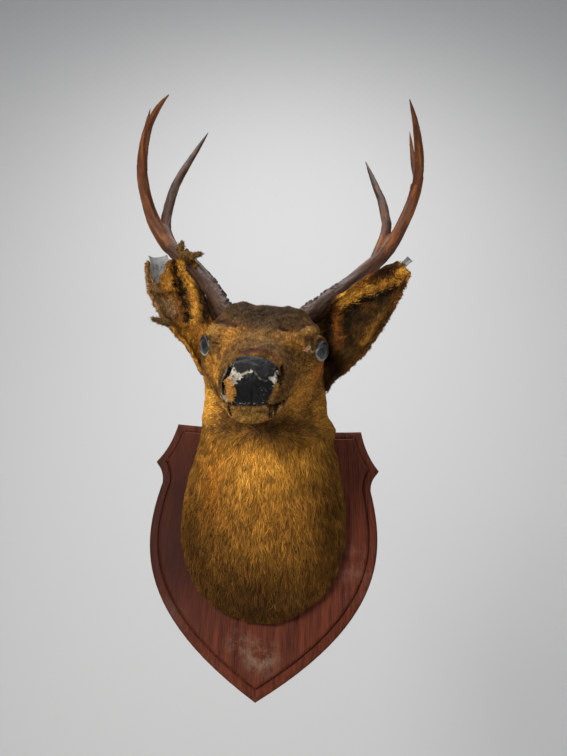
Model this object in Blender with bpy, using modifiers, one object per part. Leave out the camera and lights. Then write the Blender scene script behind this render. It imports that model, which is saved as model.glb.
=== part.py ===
"""Deer shoulder mount on a shield plaque: a still model at life size, in metres, +Z up.

The plaque hangs upright with its back in the plane Y = 0 and the deer faces -Y. X = 0 is the
plaque's centre line. The origin lies on the plaque's back face, TIP_DROP above its tip.
"Out" is the distance in front of the plaque's rim and "up" the height above its tip; left and
right are the animal's own, so left is +X.
"""

import math

import bmesh
import bpy
from mathutils import Matrix, Vector

GAP = 0.0003                      # air between neighbouring solids
TIP_DROP = 0.200                  # origin above the plaque's tip

# Plaque: a shield with a moulded rim round a raised field
RIM_FRONT = 0.018                 # the plane from which "out" is measured
BACK_EDGE = 0.0105                # straight part of the edge
FIELD_FRONT = 0.0200
CORNER = (0.1388, 0.3655)         # top corner: half width, height above the tip
TOP_DIP = 0.0045                  # the top edge sinks this much at its middle
SHOULDER = (0.1635, 0.3046)       # side point under the top corner
SCOOP = (0.1450, 0.3280)          # pulls the edge in between corner and shoulder
WAIST = (0.1505, 0.2740)
BELLY = (0.1680, 0.1900)          # these two shape the long curve down to the tip
FLANK = (0.1680, 0.1000)
# Moulding: (distance in from the outline, height of the front above the back)
MOULDING = ((0.0, 0.0), (0.0, BACK_EDGE), (0.0022, 0.0132), (0.0060, 0.0146), (0.0105, 0.0148),
            (0.0128, 0.0134), (0.0136, 0.0180), (0.0160, FIELD_FRONT))

# Head: its axis runs from the eyes to the middle of the nose
HEAD_SHIFT = -0.012               # the head sits to the animal's right of the centre line
EYES_OUT = 0.1563
EYES_UP = 0.4112
HEAD_DROP = math.radians(43)      # slope of the face below the level
EYE_SPREAD = 0.0662               # half the distance between the eyeballs' centres
EYE_RADIUS = 0.0175
# Sections along the head: (ahead of the eyes, top, bottom, half width, level of greatest width,
# squareness above, squareness below)
HEAD_SECTIONS = (
    (-0.148, 0.003, -0.024, 0.036, -0.012, 2.0, 2.0),
    (-0.128, 0.023, -0.044, 0.058, -0.018, 2.1, 2.1),
    (-0.098, 0.0385, -0.074, 0.0760, -0.022, 2.3, 2.3),
    (-0.066, 0.0450, -0.105, 0.0825, -0.025, 2.5, 2.5),
    (-0.030, 0.0450, -0.111, 0.0835, -0.020, 2.5, 2.6),
    (0.002, 0.0415, -0.100, 0.0795, -0.008, 2.4, 2.3),
    (0.034, 0.0355, -0.085, 0.0665, -0.010, 2.3, 2.1),
    (0.066, 0.0300, -0.073, 0.0530, -0.012, 2.2, 2.0),
    (0.100, 0.0268, -0.064, 0.0440, -0.014, 2.2, 2.0),
    (0.132, 0.0258, -0.058, 0.0400, -0.014, 2.3, 2.1),
    (0.156, 0.0240, -0.0535, 0.0360, -0.012, 2.4, 2.2),
    (0.172, 0.0165, -0.0470, 0.0305, -0.010, 2.3, 2.2),
    (0.1815, 0.0060, -0.0360, 0.0215, -0.010, 2.0, 2.0),
)
NOSE_TURN = -0.018                # sideways drift of the face per unit ahead of the eyes

# Neck: (throat out, throat up, nape out, nape up, half width)
NECK_SECTIONS = (
    (0.0023, 0.0840, 0.0023, 0.3450, 0.1150),
    (0.0180, 0.0900, 0.0060, 0.3580, 0.1150),
    (0.0450, 0.1120, 0.0120, 0.3810, 0.1090),
    (0.0700, 0.1500, 0.0230, 0.4140, 0.0990),
    (0.0870, 0.2000, 0.0370, 0.4480, 0.0905),
    (0.0960, 0.2520, 0.0520, 0.4800, 0.0865),
    (0.1060, 0.3020, 0.0690, 0.5020, 0.0835),
    (0.1220, 0.3450, 0.1000, 0.4920, 0.0720),
)
NECK_SQUARENESS = 2.15

# Where the flesh is parted: a point on each cut and the cut's normal, (out, up) or (ahead, above)
NECK_CUT = ((0.050, 0.290), (0.70, 0.71))
THROAT_CUT = ((0.108, 0.300), (0.985, 0.172))
MOUTH_CUT = ((0.150, -0.031), (-0.165, 0.986))
MUZZLE_CUT = ((0.060, 0.0), (1.0, 0.0))
NOSE_CUT = ((0.1575, 0.0235), (0.967, 0.254))

# Flesh mesh
SECTION_POINTS = 40
SKIN_VOXEL = 0.004
SKIN_TRIANGLES = 2000

# Antlers: the beam from the skull to its tip, (sideways, out, up) from the head's middle
BEAMS = {
    "left": ((0.048, 0.122, 0.474), (0.0721, 0.1136, 0.5055), (0.1197, 0.0990, 0.5578),
             (0.1531, 0.0960, 0.5959), (0.1800, 0.0995, 0.6261), (0.2000, 0.1130, 0.6570),
             (0.2160, 0.1370, 0.6890), (0.2222, 0.1650, 0.7130), (0.2185, 0.1960, 0.7300),
             (0.2060, 0.2390, 0.7435), (0.1869, 0.2831, 0.7455)),
    "right": ((-0.042, 0.122, 0.472), (-0.0641, 0.1129, 0.5041), (-0.0911, 0.1047, 0.5484),
              (-0.1183, 0.0990, 0.5846), (-0.1460, 0.0966, 0.6100), (-0.1690, 0.1010, 0.6340),
              (-0.1890, 0.1200, 0.6650), (-0.2000, 0.1510, 0.6973), (-0.1990, 0.1800, 0.7175),
              (-0.1860, 0.2220, 0.7340), (-0.1650, 0.2570, 0.7375), (-0.1449, 0.2811, 0.7354)),
}
REAR_TINES = {
    "left": ((0.1836, 0.1005, 0.6710), (0.1835, 0.0978, 0.7045), (0.1800, 0.0937, 0.7410),
             (0.1724, 0.0888, 0.7785), (0.1573, 0.0821, 0.8467)),
    "right": ((-0.1692, 0.0972, 0.6590), (-0.1690, 0.0945, 0.7270), (-0.1640, 0.0920, 0.7672),
              (-0.1530, 0.0892, 0.8090), (-0.1405, 0.0868, 0.8500), (-0.1241, 0.0871, 0.8987)),
}
TOP_TINES = {
    "left": ((0.2169, 0.1705, 0.7446), (0.2128, 0.1820, 0.7748),
             (0.2096, 0.1904, 0.7969)),
    "right": ((-0.2005, 0.1857, 0.7540), (-0.1982, 0.1969, 0.7856),
              (-0.1949, 0.2033, 0.8063)),
}
BEAM_RADII = ((0.0, 0.0180), (0.08, 0.0160), (0.20, 0.0138), (0.34, 0.0126), (0.44, 0.0118),
              (0.55, 0.0105), (0.72, 0.0088), (0.86, 0.0064), (0.95, 0.0038), (1.0, 0.0014))
REAR_TINE_RADII = ((0.0, 0.0100), (0.20, 0.0090), (0.50, 0.0080), (0.75, 0.0058), (0.90, 0.0036),
                   (1.0, 0.0012))
TOP_TINE_RADII = ((0.0, 0.0064), (0.4, 0.0048), (0.8, 0.0028), (1.0, 0.0010))
FORK_LOW = 0.405                  # share of the beam's length where the rear tine ends
FORK_HIGH = 0.715                 # and where the top tine ends
BEAM_STEPS = 28
TINE_STEPS = 12
BURR_RADIUS = 0.0205
BURR_HEIGHT = 0.007
BURR_PLACE = 0.062                # share of the beam's length

# Ears: cupped leaves, open to the front. Their middle line is (sideways, out, up) from the head's
# middle; half_widths follow it, cup is the half angle of the rolled section at root and tip.
EARS = {
    "left": dict(middle=((0.0620, 0.0850, 0.4310), (0.1040, 0.1100, 0.4620),
                         (0.1350, 0.1360, 0.4870), (0.1640, 0.1640, 0.5115),
                         (0.1860, 0.1870, 0.5290)),
                 across=(0.18, -0.31, -0.93),
                 half_widths=(0.0480, 0.0480, 0.0405, 0.0275, 0.0120), cup=(72, 58)),
    "right": dict(middle=((-0.0690, 0.0820, 0.4160), (-0.0925, 0.0880, 0.4635),
                          (-0.1180, 0.0960, 0.4985), (-0.1390, 0.1130, 0.5430),
                          (-0.1525, 0.1290, 0.5800)),
                  across=(-0.93, 0.05, -0.36),
                  half_widths=(0.0250, 0.0285, 0.0340, 0.0405, 0.0310), cup=(88, 76)),
}
EAR_THICKNESS = 0.0065
EAR_ROWS = 12
EAR_COLUMNS = 9
# The thin metal liners that show where the ears are torn: (from, to) along and across the ear
LINERS = {"left": ((0.86, 1.07), (-0.75, 0.30)), "right": ((0.74, 1.04), (-0.10, 0.92))}
LINER_THICKNESS = 0.0014
LINER_AIR = 0.0012                # keeps the liner off the faceted hide behind it
LINER_STEPS = 4

COLOURS = {
    "wood": ((0.115, 0.026, 0.018), 0.42, 0.0),
    "coat": ((0.330, 0.165, 0.050), 0.85, 0.0),
    "dark_coat": ((0.130, 0.070, 0.030), 0.85, 0.0),
    "nose": ((0.030, 0.034, 0.042), 0.35, 0.0),
    "glass": ((0.020, 0.024, 0.030), 0.08, 0.0),
    "antler": ((0.210, 0.080, 0.035), 0.40, 0.0),
    "liner": ((0.350, 0.390, 0.420), 0.45, 0.6),
}

HEAD_AXIS = (math.cos(HEAD_DROP), -math.sin(HEAD_DROP))
HEAD_UP = (math.sin(HEAD_DROP), math.cos(HEAD_DROP))
SIDES = {"left": 1, "right": -1}


# ---------------------------------------------------------------- places

def place(sideways, out, up):
    """A point from its offset, its distance in front of the rim and its height above the tip."""
    return Vector((sideways, -(out + RIM_FRONT), up - TIP_DROP))


def head_place(ahead, sideways, above):
    """A point from its place along, beside and above the head's axis."""
    sideways += NOSE_TURN * max(ahead, 0.0)
    out = EYES_OUT + ahead * HEAD_AXIS[0] + above * HEAD_UP[0]
    up = EYES_UP + ahead * HEAD_AXIS[1] + above * HEAD_UP[1]
    return place(sideways + HEAD_SHIFT, out, up)


def from_head(point):
    """A point given as (sideways, out, up) from the head's middle."""
    sideways, out, up = point
    return place(sideways + HEAD_SHIFT, out, up)


def smooth_between(values, share):
    """Catmull-Rom value at share 0..1 of a list of vectors."""
    last = len(values) - 1
    at = min(max(share, 0.0), 1.0) * last
    i = min(int(at), last - 1)
    t = at - i
    p0, p1, p2, p3 = (values[min(max(k, 0), last)] for k in (i - 1, i, i + 1, i + 2))
    return 0.5 * ((2 * p1) + (p2 - p0) * t + (2 * p0 - 5 * p1 + 4 * p2 - p3) * t ** 2
                  + (3 * p1 - p0 - 3 * p2 + p3) * t ** 3)


def even_path(points, steps):
    """Points spread evenly by length along the smooth curve through the given ones."""
    fine = [smooth_between(points, i / 400) for i in range(401)]
    lengths = [0.0]
    for a, b in zip(fine, fine[1:]):
        lengths.append(lengths[-1] + (b - a).length)
    path = []
    k = 0
    for i in range(steps + 1):
        target = lengths[-1] * i / steps
        while k < 399 and lengths[k + 1] < target:
            k += 1
        span = lengths[k + 1] - lengths[k]
        path.append(fine[k].lerp(fine[k + 1], (target - lengths[k]) / span))
    return path


def stepped(table, share):
    """Straight-line value at share of a table of (share, value)."""
    for (s0, v0), (s1, v1) in zip(table, table[1:]):
        if share <= s1:
            return v0 + (v1 - v0) * (share - s0) / (s1 - s0)
    return table[-1][1]


# ---------------------------------------------------------------- scene and materials

def clear_scene():
    for obj in list(bpy.data.objects):
        bpy.data.objects.remove(obj, do_unlink=True)


def new_collection(name):
    collection = bpy.data.collections.new(name)
    bpy.context.scene.collection.children.link(collection)
    return collection


def make_material(name):
    colour, roughness, metallic = COLOURS[name]
    material = bpy.data.materials.new(name)
    material.use_nodes = True
    shader = material.node_tree.nodes["Principled BSDF"]
    shader.inputs["Base Color"].default_value = (*colour, 1.0)
    shader.inputs["Roughness"].default_value = roughness
    shader.inputs["Metallic"].default_value = metallic
    return material


def add_object(name, mesh, collection, material=None):
    obj = bpy.data.objects.new(name, mesh)
    collection.objects.link(obj)
    if material is not None:
        mesh.materials.clear()
        mesh.materials.append(material)
    return obj


def as_cutter(obj):
    obj.hide_render = True
    obj.display_type = "WIRE"
    return obj


def baked(obj):
    """The object's mesh with its modifiers applied."""
    graph = bpy.context.evaluated_depsgraph_get()
    graph.update()
    mesh = bpy.data.meshes.new_from_object(obj.evaluated_get(graph), depsgraph=graph)
    mesh.transform(obj.matrix_world)
    return mesh


def boolean(obj, other, operation):
    cut = obj.modifiers.new(operation.lower(), "BOOLEAN")
    cut.operation = operation
    cut.solver = "EXACT"
    cut.object = other


def shade(mesh, angle=40):
    mesh.shade_smooth()
    mesh.set_sharp_from_angle(angle=math.radians(angle))


# ---------------------------------------------------------------- mesh makers

def loft(name, rings):
    """A closed solid through rings of points, capped at both ends."""
    bm = bmesh.new()
    rows = [[bm.verts.new(p) for p in ring] for ring in rings]
    count = len(rows[0])
    for low, high in zip(rows, rows[1:]):
        for i in range(count):
            j = (i + 1) % count
            bm.faces.new((low[i], low[j], high[j], high[i]))
    bm.faces.new(list(reversed(rows[0])))
    bm.faces.new(rows[-1])
    bmesh.ops.recalc_face_normals(bm, faces=bm.faces)
    mesh = bpy.data.meshes.new(name)
    bm.to_mesh(mesh)
    bm.free()
    return mesh


def keep_side(mesh, point, normal, front):
    """The part of a closed mesh on one side of a plane, closed again along a thin gap."""
    side = 1 if front else -1
    bm = bmesh.new()
    bm.from_mesh(mesh)
    everything = bm.verts[:] + bm.edges[:] + bm.faces[:]
    bmesh.ops.bisect_plane(bm, geom=everything, dist=1e-7, plane_co=point + normal * side * GAP / 2,
                           plane_no=normal, clear_inner=front, clear_outer=not front)
    open_edges = [e for e in bm.edges if e.is_boundary]
    bmesh.ops.holes_fill(bm, edges=open_edges, sides=0)
    bmesh.ops.triangulate(bm, faces=[f for f in bm.faces if len(f.verts) > 4])
    bmesh.ops.recalc_face_normals(bm, faces=bm.faces)
    result = bpy.data.meshes.new(mesh.name + "_piece")
    bm.to_mesh(result)
    bm.free()
    return result


def inflated(mesh, distance, name):
    """A copy of a closed mesh with every point moved out along its normal."""
    copy = mesh.copy()
    copy.name = name
    normals = [v.normal.copy() for v in mesh.vertices]
    for vertex, normal in zip(copy.vertices, normals):
        vertex.co += normal * distance
    return copy


# ---------------------------------------------------------------- plaque

def bezier(points, t):
    """A point on a Bezier curve of any degree, by repeated mixing of its handles."""
    level = [Vector(p) for p in points]
    while len(level) > 1:
        level = [a.lerp(b, t) for a, b in zip(level, level[1:])]
    return level[0]


def plaque_outline():
    """The shield's edge as (sideways, up), anticlockwise from the tip, with flags at its corners."""
    middle_top = (0.0, CORNER[1] - TOP_DIP)
    runs = (
        (((0.0, 0.0), FLANK, BELLY, WAIST), 26),
        ((WAIST, (WAIST[0], 0.2900), SHOULDER), 7),
        ((SHOULDER, SCOOP, CORNER), 8),
        ((CORNER, (CORNER[0] * 0.5, middle_top[1]), middle_top), 6),
    )
    half = []
    for handles, steps in runs:
        half += [bezier(handles, i / steps) for i in range(steps)]
    half.append(Vector(middle_top))
    left_half = [Vector((-p.x, p.y)) for p in reversed(half[1:-1])]
    return half + left_half


def inset(outline, distance):
    """The outline moved in by a distance, corners kept as corners."""
    moved = []
    count = len(outline)
    for i, here in enumerate(outline):
        before = (here - outline[i - 1]).normalized()
        after = (outline[(i + 1) % count] - here).normalized()
        inward = Vector((-before.y, before.x)) + Vector((-after.y, after.x))
        inward.normalize()
        half_turn = max(inward.dot(Vector((-after.y, after.x))), 0.35)
        moved.append(here + inward * distance / half_turn)
    return moved


def make_plaque(collection, material):
    outline = plaque_outline()
    rings = []
    for distance, height in MOULDING:
        edge = inset(outline, distance)
        rings.append([Vector((p.x, -height, p.y - TIP_DROP)) for p in edge])
    mesh = loft("plaque", rings)
    shade(mesh, 28)
    return add_object("plaque", mesh, collection, material)


# ---------------------------------------------------------------- flesh

def section(centre, half_width, up_axis, top, bottom, square_top, square_bottom):
    """One closed ring: a superellipse with its own height and squareness above and below."""
    ring = []
    for i in range(SECTION_POINTS):
        angle = 2 * math.pi * i / SECTION_POINTS
        c, s = math.cos(angle), math.sin(angle)
        square = square_top if s >= 0 else square_bottom
        wide = math.copysign(abs(c) ** (2 / square), c) * half_width
        high = abs(s) ** (2 / square) * (top if s >= 0 else -bottom)
        ring.append(centre + Vector((wide, 0, 0)) + up_axis * high)
    return ring


def make_head_form(collection):
    rows = [Vector(row[:4]) for row in HEAD_SECTIONS]
    more = [Vector(row[4:]) for row in HEAD_SECTIONS]
    up_axis = head_place(0, 0, 1) - head_place(0, 0, 0)
    steps = 4 * (len(rows) - 1)
    rings = []
    for i in range(steps + 1):
        ahead, top, bottom, half_width = smooth_between(rows, i / steps)
        level, square_top, square_bottom = smooth_between(more, i / steps)
        centre = head_place(ahead, 0, level)
        rings.append(section(centre, half_width, up_axis, top - level, level - bottom,
                             square_top, square_bottom))
    return as_cutter(add_object("head_form", loft("head_form", rings), collection))


def make_neck_form(collection):
    throats = [place(0, row[0], row[1]) for row in NECK_SECTIONS]
    napes = [place(0, row[2], row[3]) for row in NECK_SECTIONS]
    widths = [Vector((row[4], 0, 0)) for row in NECK_SECTIONS]
    steps = 4 * (len(throats) - 1)
    rings = []
    for i in range(steps + 1):
        throat = smooth_between(throats, i / steps)
        nape = smooth_between(napes, i / steps)
        half_width = smooth_between(widths, i / steps).x
        shift = Vector((HEAD_SHIFT * (i / steps) ** 2, 0, 0))
        half_height = (nape - throat).length / 2
        rings.append(section((throat + nape) / 2 + shift, half_width, (nape - throat).normalized(),
                             half_height, half_height, NECK_SQUARENESS, NECK_SQUARENESS))
    return as_cutter(add_object("neck_form", loft("neck_form", rings), collection))


def make_flesh(cutters):
    """Head and neck as one closed mesh, evenly faceted."""
    head = make_head_form(cutters)
    neck = make_neck_form(cutters)
    boolean(head, neck, "UNION")
    remesh = head.modifiers.new("remesh", "REMESH")
    remesh.mode = "VOXEL"
    remesh.voxel_size = SKIN_VOXEL
    smooth = head.modifiers.new("smooth", "SMOOTH")
    smooth.factor = 0.5
    smooth.iterations = 14
    thin = head.modifiers.new("thin", "DECIMATE")
    thin.ratio = 1.0
    faces = sum(len(f.vertices) - 2 for f in baked(head).polygons)
    thin.ratio = SKIN_TRIANGLES / faces
    mesh = baked(head)
    mesh.name = "flesh"
    return mesh


def cut_plane(cut, on_head):
    (along, height), (normal_along, normal_up) = cut
    locate = (lambda a, b: head_place(a, 0, b)) if on_head else (lambda a, b: place(0, a, b))
    point = locate(along, height)
    normal = (locate(along + normal_along, height + normal_up) - point).normalized()
    return point, normal


def part_flesh(flesh):
    """Cuts the one mesh into its named pieces."""
    behind, ahead = [keep_side(flesh, *cut_plane(THROAT_CUT, False), front) for front in (False, True)]
    lower, upper = [keep_side(behind, *cut_plane(NECK_CUT, False), front) for front in (False, True)]
    jaw, face = [keep_side(ahead, *cut_plane(MOUTH_CUT, True), front) for front in (False, True)]
    head, snout = [keep_side(face, *cut_plane(MUZZLE_CUT, True), front) for front in (False, True)]
    muzzle, nose = [keep_side(snout, *cut_plane(NOSE_CUT, True), front) for front in (False, True)]
    return {"neck_lower": lower, "neck_upper": upper, "jaw": jaw, "head": head, "muzzle": muzzle,
            "nose_pad": nose}


# ---------------------------------------------------------------- eyes

def make_eye(name, side, radius, collection, material=None):
    bm = bmesh.new()
    bmesh.ops.create_uvsphere(bm, u_segments=14, v_segments=9, radius=radius)
    mesh = bpy.data.meshes.new(name)
    bm.to_mesh(mesh)
    bm.free()
    mesh.transform(Matrix.Rotation(math.radians(90), 4, "Y"))
    mesh.shade_smooth()
    eye = add_object(name, mesh, collection, material)
    eye.location = head_place(0, side * EYE_SPREAD, 0)
    return eye


# ---------------------------------------------------------------- antlers

def tube(name, path, radii, collection, extra=0.0):
    """A tapering round bar along a path, as a closed mesh."""
    curve = bpy.data.curves.new(name, "CURVE")
    curve.dimensions = "3D"
    curve.bevel_depth = 1.0
    curve.bevel_resolution = 2
    curve.use_fill_caps = True
    spline = curve.splines.new("POLY")
    spline.points.add(len(path) - 1)
    last = len(path) - 1
    for i, point in enumerate(path):
        spline.points[i].co = (*point, 1.0)
        spline.points[i].radius = stepped(radii, i / last) + extra
    rod = bpy.data.objects.new(name, curve)
    collection.objects.link(rod)
    bpy.context.view_layer.update()
    mesh = baked(rod)
    bpy.data.objects.remove(rod, do_unlink=True)
    bpy.data.curves.remove(curve)
    bm = bmesh.new()
    bm.from_mesh(mesh)
    bmesh.ops.remove_doubles(bm, verts=bm.verts, dist=1e-6)
    bmesh.ops.recalc_face_normals(bm, faces=bm.faces)
    bm.to_mesh(mesh)
    bm.free()
    mesh.name = name
    return mesh


def burr_mesh(name, path, extra=0.0):
    """The rough collar at the foot of the beam: a squashed ball round it."""
    at = BURR_PLACE * (len(path) - 1)
    i = int(at)
    centre = path[i].lerp(path[i + 1], at - i)
    along = (path[i + 1] - path[i]).normalized()
    bm = bmesh.new()
    bmesh.ops.create_uvsphere(bm, u_segments=16, v_segments=8, radius=1.0)
    mesh = bpy.data.meshes.new(name)
    bm.to_mesh(mesh)
    bm.free()
    turn = along.to_track_quat("Z", "Y").to_matrix().to_4x4()
    size = Matrix.Diagonal((BURR_RADIUS + extra, BURR_RADIUS + extra, BURR_HEIGHT + extra, 1.0))
    mesh.transform(Matrix.Translation(centre) @ turn @ size)
    return mesh


def cut_ring(mesh, path, share, front):
    at = share * (len(path) - 1)
    i = int(at)
    point = path[i].lerp(path[i + 1], at - i)
    return keep_side(mesh, point, (path[i + 1] - path[i]).normalized(), front)


def make_antler(side_name, skull, collection, cutters, material):
    """The beam in three lengths, parted at its forks, with two tines that fit against it."""
    prefix = "antler_" + side_name
    path = even_path([from_head(p) for p in BEAMS[side_name]], BEAM_STEPS)
    beam = tube(prefix + "_whole", path, BEAM_RADII, cutters)
    wide = as_cutter(add_object(prefix + "_clearance", tube(prefix + "_clearance", path,
                                BEAM_RADII, cutters, GAP), cutters))
    base = cut_ring(beam, path, FORK_LOW, False)
    middle = cut_ring(cut_ring(beam, path, FORK_LOW, True), path, FORK_HIGH, False)
    tip = cut_ring(beam, path, FORK_HIGH, True)
    wide_burr = as_cutter(add_object(prefix + "_burr_clearance",
                                     burr_mesh(prefix + "_burr_clearance", path, GAP), cutters))
    boolean(wide, wide_burr, "UNION")
    base_object = add_object(prefix + "_base", base, collection, material)
    burr = as_cutter(add_object(prefix + "_burr", burr_mesh(prefix + "_burr", path), cutters))
    boolean(base_object, burr, "UNION")
    boolean(base_object, skull, "DIFFERENCE")
    add_object(prefix + "_beam", middle, collection, material)
    add_object(prefix + "_tip", tip, collection, material)
    for tine, share, points, radii in (("rear_tine", FORK_LOW, REAR_TINES, REAR_TINE_RADII),
                                       ("top_tine", FORK_HIGH, TOP_TINES, TOP_TINE_RADII)):
        root = path[round(share * BEAM_STEPS)]
        line = even_path([root] + [from_head(p) for p in points[side_name]], TINE_STEPS)
        branch = add_object(f"{prefix}_{tine}", tube(f"{prefix}_{tine}", line, radii, cutters),
                            collection, material)
        boolean(branch, wide, "DIFFERENCE")
    return wide


# ---------------------------------------------------------------- ears

def ear_grid(side_name, rows, columns, along=(0.0, 1.0), around=(-1.0, 1.0), lift=0.0):
    """Points of the cupped leaf, row by row from root to tip; lift moves them into the cup."""
    shape = EARS[side_name]
    middle = [from_head(p) for p in shape["middle"]]
    widths = [Vector((w, 0, 0)) for w in shape["half_widths"]]
    sideways, out, up = shape["across"]
    run = (middle[-1] - middle[0]).normalized()
    across = Vector((sideways, -out, up))
    across = (across - run * across.dot(run)).normalized()
    facing = run.cross(across)
    if facing.y > 0:
        facing.negate()
    grid = []
    for i in range(rows + 1):
        t = along[0] + (along[1] - along[0]) * i / rows
        beyond = max(t - 1.0, 0.0) * (middle[-1] - middle[0])
        centre = smooth_between(middle, t) + beyond
        spread = math.radians(shape["cup"][0] + (shape["cup"][1] - shape["cup"][0]) * t)
        radius = smooth_between(widths, t).x / math.sin(min(spread, math.pi / 2))
        line = []
        for j in range(columns + 1):
            angle = spread * (around[0] + (around[1] - around[0]) * j / columns)
            sideways = (radius - lift) * math.sin(angle)
            depth = (radius - lift) * math.cos(angle) - radius * math.cos(spread)
            line.append(centre + across * sideways - facing * depth)
        grid.append(line)
    return grid


def sheet_mesh(name, grid):
    bm = bmesh.new()
    rows = [[bm.verts.new(p) for p in line] for line in grid]
    for low, high in zip(rows, rows[1:]):
        for i in range(len(low) - 1):
            bm.faces.new((low[i], low[i + 1], high[i + 1], high[i]))
    mesh = bpy.data.meshes.new(name)
    bm.to_mesh(mesh)
    bm.free()
    return mesh


def thicken(obj, thickness):
    thick = obj.modifiers.new("thick", "SOLIDIFY")
    thick.thickness = thickness
    thick.offset = 0.0


def make_ear(side_name, skull, beam, collection, hide, metal):
    """The hide of the ear, cut to fit against head and antler, and the liner inside its tip."""
    name = "ear_" + side_name
    ear = add_object(name, sheet_mesh(name, ear_grid(side_name, EAR_ROWS, EAR_COLUMNS)),
                     collection, hide)
    thicken(ear, EAR_THICKNESS)
    boolean(ear, skull, "DIFFERENCE")
    boolean(ear, beam, "DIFFERENCE")
    along, around = LINERS[side_name]
    name = "ear_liner_" + side_name
    lift = (EAR_THICKNESS + LINER_THICKNESS) / 2 + LINER_AIR
    grid = ear_grid(side_name, LINER_STEPS, LINER_STEPS, along, around, lift)
    liner = add_object(name, sheet_mesh(name, grid), collection, metal)
    thicken(liner, LINER_THICKNESS)


# ---------------------------------------------------------------- assembly

def build():
    clear_scene()
    mount = new_collection("deer_shoulder_mount")
    cutters = new_collection("cutters")
    materials = {name: make_material(name) for name in COLOURS}

    make_plaque(mount, materials["wood"])
    flesh = make_flesh(cutters)
    skull = as_cutter(add_object("flesh_clearance", inflated(flesh, GAP * 1.4, "flesh_clearance"),
                                 cutters))
    finishes = {"nose_pad": "nose", "neck_lower": "coat", "neck_upper": "coat", "jaw": "coat",
                "head": "dark_coat", "muzzle": "coat"}
    pieces = {}
    for name, mesh in part_flesh(flesh).items():
        mesh.name = name
        shade(mesh)
        pieces[name] = add_object(name, mesh, mount, materials[finishes[name]])
    for side_name, side in SIDES.items():
        make_eye("eye_" + side_name, side, EYE_RADIUS, mount, materials["glass"])
        socket = as_cutter(make_eye("socket_" + side_name, side, EYE_RADIUS + GAP, cutters))
        boolean(pieces["head"], socket, "DIFFERENCE")
        beam = make_antler(side_name, skull, mount, cutters, materials["antler"])
        make_ear(side_name, skull, beam, mount, materials["coat"], materials["liner"])


build()
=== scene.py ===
import math

import bmesh
import bpy
import numpy as np
from mathutils import Matrix, Vector
from mathutils.bvhtree import BVHTree


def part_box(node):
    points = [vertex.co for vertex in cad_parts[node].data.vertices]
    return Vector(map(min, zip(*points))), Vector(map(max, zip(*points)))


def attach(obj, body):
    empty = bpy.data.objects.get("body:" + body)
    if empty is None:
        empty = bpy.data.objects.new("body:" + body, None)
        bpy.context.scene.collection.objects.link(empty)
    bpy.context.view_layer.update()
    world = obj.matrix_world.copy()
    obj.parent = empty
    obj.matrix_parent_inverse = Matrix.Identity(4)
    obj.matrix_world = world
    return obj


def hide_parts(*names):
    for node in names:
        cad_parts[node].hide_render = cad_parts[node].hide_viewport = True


# Deer shoulder mount: the looks. Metres, in the row frame; what mm() takes is in millimetres.
# p are points (n, 3), n their normals, h the same points as sideways, ahead and above in the head's frame.

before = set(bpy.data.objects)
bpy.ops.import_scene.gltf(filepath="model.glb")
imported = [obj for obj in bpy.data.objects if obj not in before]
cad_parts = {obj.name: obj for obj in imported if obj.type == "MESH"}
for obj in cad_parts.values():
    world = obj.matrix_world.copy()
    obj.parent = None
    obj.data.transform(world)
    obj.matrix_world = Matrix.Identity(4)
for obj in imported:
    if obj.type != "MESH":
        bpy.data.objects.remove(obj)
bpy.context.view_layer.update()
chance = np.random.default_rng(11)

# ---- places

RIM_FRONT = 0.018
HIDE_GAP = 0.0032
HEAD_DROP = math.radians(43)
NOSE_TURN = 0.018
EYE_SPREAD = 0.0662
TIP_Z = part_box("plaque")[0].z
ASIDE = np.array((1, 0, 0))
AHEAD = np.array((0, -math.cos(HEAD_DROP), -math.sin(HEAD_DROP)))
ABOVE = np.array((0, -math.sin(HEAD_DROP), math.cos(HEAD_DROP)))


def place(sideways, out, up):
    """A point given from the plaque's tip and the front of its rim."""
    return np.array((sideways, -(out + RIM_FRONT), TIP_Z + up))


HEAD = place(-0.012, 0.1563, 0.4112)


def head_coords(p):
    """Sideways, ahead and above of points, from the middle between the eyes."""
    e = p - HEAD
    ahead = e @ AHEAD
    return np.stack((e[:, 0] + NOSE_TURN * ahead, ahead, e @ ABOVE), 1)


# ---- numbers and fields


def mm(values):
    """Millimetres as metres."""
    return np.array(values, float) * 0.001


def rise(x, low, high):
    t = np.clip((x - low) / (high - low), 0, 1)
    return t * t * (3 - 2 * t)


def size_of(v):
    return np.linalg.norm(v, axis=1)


def unit(v):
    return v / np.maximum(size_of(v), 1e-9)[:, None]


def waves(p, size, seed, count=9):
    """A smooth field of about unit strength whose lumps are about size across."""
    r = np.random.default_rng(seed)
    k = unit(r.normal(size=(count, 3))) * (2 * math.pi / size) * r.uniform(0.6, 1.7, (count, 1))
    return np.sin(p @ k.T + r.uniform(0, 2 * math.pi, count)).sum(1) * math.sqrt(2 / count)


def bell(x):
    return np.exp(-(x**2))


def near(q, centre, reach):
    return np.exp(-(((q - centre) / reach) ** 2).sum(1))


def patch(q, centre, reach, ragged):
    """A flat-topped, ragged-edged spot."""
    gap = (((q - centre) / reach) ** 2).sum(1) * ragged
    return np.exp(-0.6 * gap**2)


def steps_along(p, line):
    """For each step of a bent line: its vector, the share of it and the place on it nearest to each point."""
    for a, b in zip(line[:-1], line[1:]):
        ab = b - a
        t = np.clip((p - a) @ ab / max(ab @ ab, 1e-12), 0, 1)
        yield ab, t, a + t[:, None] * ab


def line_gap(q, points):
    """How far q is from a bent line."""
    gaps = (size_of(q - on) for ab, t, on in steps_along(q, np.array(points)))
    return np.minimum.reduce(list(gaps))


def flat(h):
    """Head coordinates as seen from straight ahead."""
    return h[:, [0, 2]]


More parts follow.
